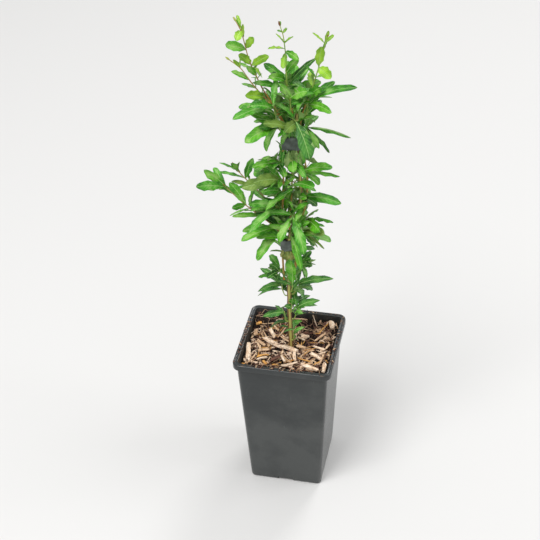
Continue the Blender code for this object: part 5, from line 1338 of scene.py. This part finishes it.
midrib, _, _ = new_material("pale_midrib", "a5cc78", 0.42, 1.45)
underside = blotched("leaf_underside", "79a052", 0.62, 1.45, {"Scale": 120.0, "Detail": 3.0},
                     ((0.35, "6b9148"), (0.65, "8bb062")))
# The pale ones are caught in the upper tie with their undersides out, the faded ones crumpled under the lower.
LEAF_KINDS = {
    "new": leaf_skin("new_leaf", "72a61a", "98cb2c", "b8e250", 0.3),
    # The third colours of the bright and mature leaves are whitish greens that stand for the leaves' sheen: painted
    # sheen.
    "bright": leaf_skin("bright_leaf", "3a8c14", "66b928", "a0d468", 0.25, 0.14),
    "middle": leaf_skin("mature_leaf", "2d7c14", "57ae2a", "94cd68", 0.26, 0.14),
    "deep": leaf_skin("deep_green_leaf", "22561c", "42862e", "6bac48", 0.25, 0.14),
    "olive": leaf_skin("olive_leaf", "56782a", "759838", "95b352", 0.38),
    "pale": leaf_skin("caught_leaf", "55753a", "79984e", "a0b974", 0.5, 0.5, 150.0),
    "faded": leaf_skin("faded_leaf", "727f36", "a6a652", "cfc880", 0.5, 0.2, 210.0),
}
GROWING_KINDS = ("new", "bright", "middle", "deep", "olive")

# The kinds of some sprays' broad leaves: those over this width in mm are of this kind
KINDS_SEEN = {
    "spray_knee_front": ((12, "bright"),), "spray_waist_left": ((16, "middle"), (14, "bright")),
    "spray_waist_front": ((9, "bright"),), "spray_belly_left": ((10, "middle"),),
    "spray_belly_front": ((15, "deep"),), "spray_chest_left": ((16, "olive"),),
    "spray_shoulder_front": ((16, "deep"), (12, "olive")), "spray_crown_front": ((12, "bright"),),
}

# How often each growing kind occurs, by where the leaf grows: what its owner's name starts with, from what height
KIND_SHARES = (
    ("shoot_top", 592, (0.78, 0.22, 0, 0, 0)), ("shoot_top", 0, (0.10, 0.62, 0.28, 0, 0)),
    ("shoot", 0, (0.04, 0.50, 0.42, 0.02, 0.02)), ("", 505, (0, 0.44, 0.42, 0.13, 0.01)),
    ("", 340, (0, 0.52, 0.38, 0.08, 0.02)), ("", 0, (0, 0.03, 0.36, 0.61, 0)),
)


def kind_of(leaf, owner, draw):
    """The kind of a leaf: that of its spray's broad leaves, or drawn by the part of the plant and the height."""
    for width, kind in KINDS_SEEN.get(owner, ()):
        if leaf.width > width:
            return kind
    shares = next(shares for start, height, shares in KIND_SHARES
                  if owner.startswith(start) and leaf.root[2] > height)
    return draw.choices(GROWING_KINDS, shares)[0]


# Leaves caught when the stems were drawn together: some rise out of the upper tie, some hang from it with
# their pale undersides out, and some are crumpled under the lower one. Each is given by its tie, whether it
# leaves at the head or the foot of it, the bearing, tilt and length, its width, its bend and its kind.
CAUGHT = (
    ("tie_upper", 1, 236, 66, 26, 7, 20, "middle"), ("tie_upper", 1, 262, 74, 24, 8, 25, "deep"),
    ("tie_upper", 1, 292, 70, 22, 7, 20, "deep"), ("tie_upper", 1, 330, 66, 24, 7, 20, "middle"),
    ("tie_upper", 0, 205, -82, 22, 9, 20, "middle"), ("tie_upper", 0, 232, -86, 22, 12, 20, "pale"),
    ("tie_upper", 0, 254, -87, 27, 13, 26, "pale"), ("tie_upper", 0, 276, -86, 30, 14, 24, "pale"),
    ("tie_upper", 0, 298, -87, 24, 13, 26, "pale"), ("tie_upper", 0, 322, -84, 19, 10, 20, "middle"),
    ("tie_upper", 0, 52, -86, 38, 13, 14, "deep"), ("tie_upper", 0, 108, -84, 40, 14, 14, "deep"),
    ("tie_lower", 0, 214, -88, 11, 7, 50, "faded"), ("tie_lower", 0, 240, -84, 13, 8, 66, "faded"),
    ("tie_lower", 0, 262, -72, 13, 10, 80, "faded"), ("tie_lower", 0, 286, -76, 14, 10, 70, "faded"),
    ("tie_lower", 0, 318, -74, 13, 9, 60, "faded"), ("tie_lower", 0, 350, -80, 11, 8, 50, "faded"),
    ("tie_upper", 1, 34, 68, 38, 12, 15, "deep"), ("tie_upper", 1, 76, 74, 42, 13, 15, "deep"),
    ("tie_upper", 1, 122, 70, 38, 12, 15, "deep"),
)


def edge_of_tie(name, at_head, bearing):
    """The place on the tie's edge on this side: the middle of the stems there, and out as far as they reach."""
    foot, head = TIES[name]
    way = bearing_vector(bearing)
    stems = stems_at(head - 1.5 if at_head else foot + 1.5)
    middle = np.mean([centre for centre, _ in stems], axis=0)
    return middle + way * (max(float((centre - middle) @ way) + radius for centre, radius in stems) + 0.4)


# The places where the photograph shows sky through the crown: from and to across, and from and to the rise in
# the picture, which is 0.8 of the height and 0.6 of the way back. STEMS_SEEN is where the stems show under the
# upper tie, from and to the same, but with the rise of the height alone.
RISE_BY_HEIGHT, RISE_BY_DEPTH = 0.8, 0.6
OPENINGS = ((34, 67, 405, 440), (30, 50, 374, 392), (32, 62, 339, 369), (28, 68, 315, 334), (-19, -2, 211, 228),
            (-38, -14, 386, 402))
STEMS_SEEN = (-9, 27, 358, 400)


def closes_an_opening(leaf):
    """True for a leaf whose middle or tip would stand in an opening, or whose middle would hide the stems."""
    places = leaf_points(leaf, np.array([0.6, 1.0]), np.zeros(2), np.zeros(2))
    across, away = places @ bearing_vector(0), places @ bearing_vector(90)
    by_height = RISE_BY_HEIGHT * places[:, 2]
    rise = by_height + RISE_BY_DEPTH * away
    left, right, low, high = STEMS_SEEN
    hides_stems = away[0] < 0 and left < across[0] < right and low < by_height[0] < high
    return hides_stems or any(((left < across) & (across < right) & (low < rise) & (rise < high)).any()
                              for left, right, low, high in OPENINGS)


large, small = ({kind: [] for kind in LEAF_KINDS} for _ in range(2))
for number, (tie, at_head, bearing, tilt, length, width, droop, kind) in enumerate(CAUGHT):
    roll = math.radians(25 * math.sin(2.4 * number))
    large[kind].append(leaf_to(edge_of_tie(tie, at_head, bearing), bearing, math.radians(tilt), length, width,
                               math.radians(droop), roll))
draw = random.Random(77)
for number, (owner, leaf, _, _) in enumerate(crown.leaves):
    kind = kind_of(leaf, owner, draw)
    if number < set_leaves or not closes_an_opening(leaf):
        (large if number < set_and_grown else small)[kind].append(leaf)
shape_draw = np.random.default_rng(8)
for size, leaves_of, rows_at, blunt, pointed, columns_at in (
        ("", large, LEAF_T, MATURE_OUTLINE, POINTED_OUTLINE, COLUMNS),
        ("small_", small, SMALL_T, SMALL_OUTLINE, SMALL_POINTED_OUTLINE, SMALL_COLUMNS)):
    for kind, leaves in leaves_of.items():
        if leaves:
            form, parts = leaf_blades(leaves, rows_at, YOUNG_OUTLINE if (size, kind) == ("", "new") else blunt,
                                      pointed, columns_at, shape_draw)
            blades = piece(f"{size}{kind}_leaves", form, [LEAF_KINDS[kind], midrib, underside], (), parts)
            blades.data.set_sharp_from_angle(angle=LEAF_SHARP)

# The studio: a pale level floor under wide soft lamps, and a camera at the photograph's angle.
CAMERA_PLACE = (0.26636, -1.23846, 1.26957)
CAMERA_AZIMUTH, CAMERA_ELEVATION, CAMERA_ROLL = math.radians(13.17), math.radians(36.94), math.radians(-1.82)
FOCAL_PIXELS, PHOTO_PIXELS, SENSOR = 1300, 540, 36.0
FLOOR_HALF = 40.0  # in metres, so far out that no view from 15 degrees up shows its edge


def stand(name, data, place, right, up, back):
    """Adds an object to the scene at a place, with its own axes along these directions."""
    obj = linked(name, data)
    obj.matrix_world = Matrix([[right[k], up[k], back[k], place[k]] for k in range(3)] + [[0, 0, 0, 1]])
    return obj


paper, _, _ = new_material("studio_paper", "dddcda", 0.9, 1.46)
floor_mesh = bpy.data.meshes.new("floor")
floor_mesh.from_pydata([(x * FLOOR_HALF, y * FLOOR_HALF, 0) for x, y in ((-1, -1), (1, -1), (1, 1), (-1, 1))], [],
                       [(0, 1, 2, 3)])
floor_mesh.materials.append(paper)
floor = linked("floor", floor_mesh)

world = bpy.data.worlds.new("studio")
bpy.context.scene.world = world
world.use_nodes = True
feed(world.node_tree.nodes["Background"], {"Color": linear("f7f8fa"), "Strength": 0.56})
bpy.context.scene.view_settings.view_transform = "Standard"


def soft_lamp(name, place, aim, size, watts, colour):
    """A square area lamp at a place, turned so that its face looks at the aim."""
    lamp = bpy.data.lights.new(name, "AREA")
    lamp.shape, lamp.size, lamp.energy, lamp.color = "SQUARE", size, watts, linear(colour)[:3]
    back = unit(np.array(place) - np.array(aim))
    right = unit(np.cross(UP, back))
    stand(name, lamp, place, right, np.cross(back, right), back)


soft_lamp("key_lamp", (-0.9, -1.6, 3.4), (0, 0.2, 0.35), 1.6, 86, "ffffff")
soft_lamp("fill_lamp", (2.4, 0.3, 2.4), (0, 0, 0.35), 1.6, 24, "fdfeff")
soft_lamp("top_lamp", (0.8, 2.5, 3.1), (0, 1.0, 0.2), 1.1, 38, "ffffff")

back = np.array([math.sin(CAMERA_AZIMUTH) * math.cos(CAMERA_ELEVATION),
                 -math.cos(CAMERA_AZIMUTH) * math.cos(CAMERA_ELEVATION), math.sin(CAMERA_ELEVATION)])
level = unit(np.cross(-back, UP))
upright = np.cross(level, -back)
cos_roll, sin_roll = math.cos(CAMERA_ROLL), math.sin(CAMERA_ROLL)
lens = bpy.data.cameras.new("camera")
lens.sensor_width, lens.lens = SENSOR, SENSOR * FOCAL_PIXELS / PHOTO_PIXELS
lens.clip_start, lens.clip_end = 0.05, 50.0
bpy.context.scene.camera = stand("camera", lens, CAMERA_PLACE, level * cos_roll + upright * sin_roll,
                                 -level * sin_roll + upright * cos_roll, back)
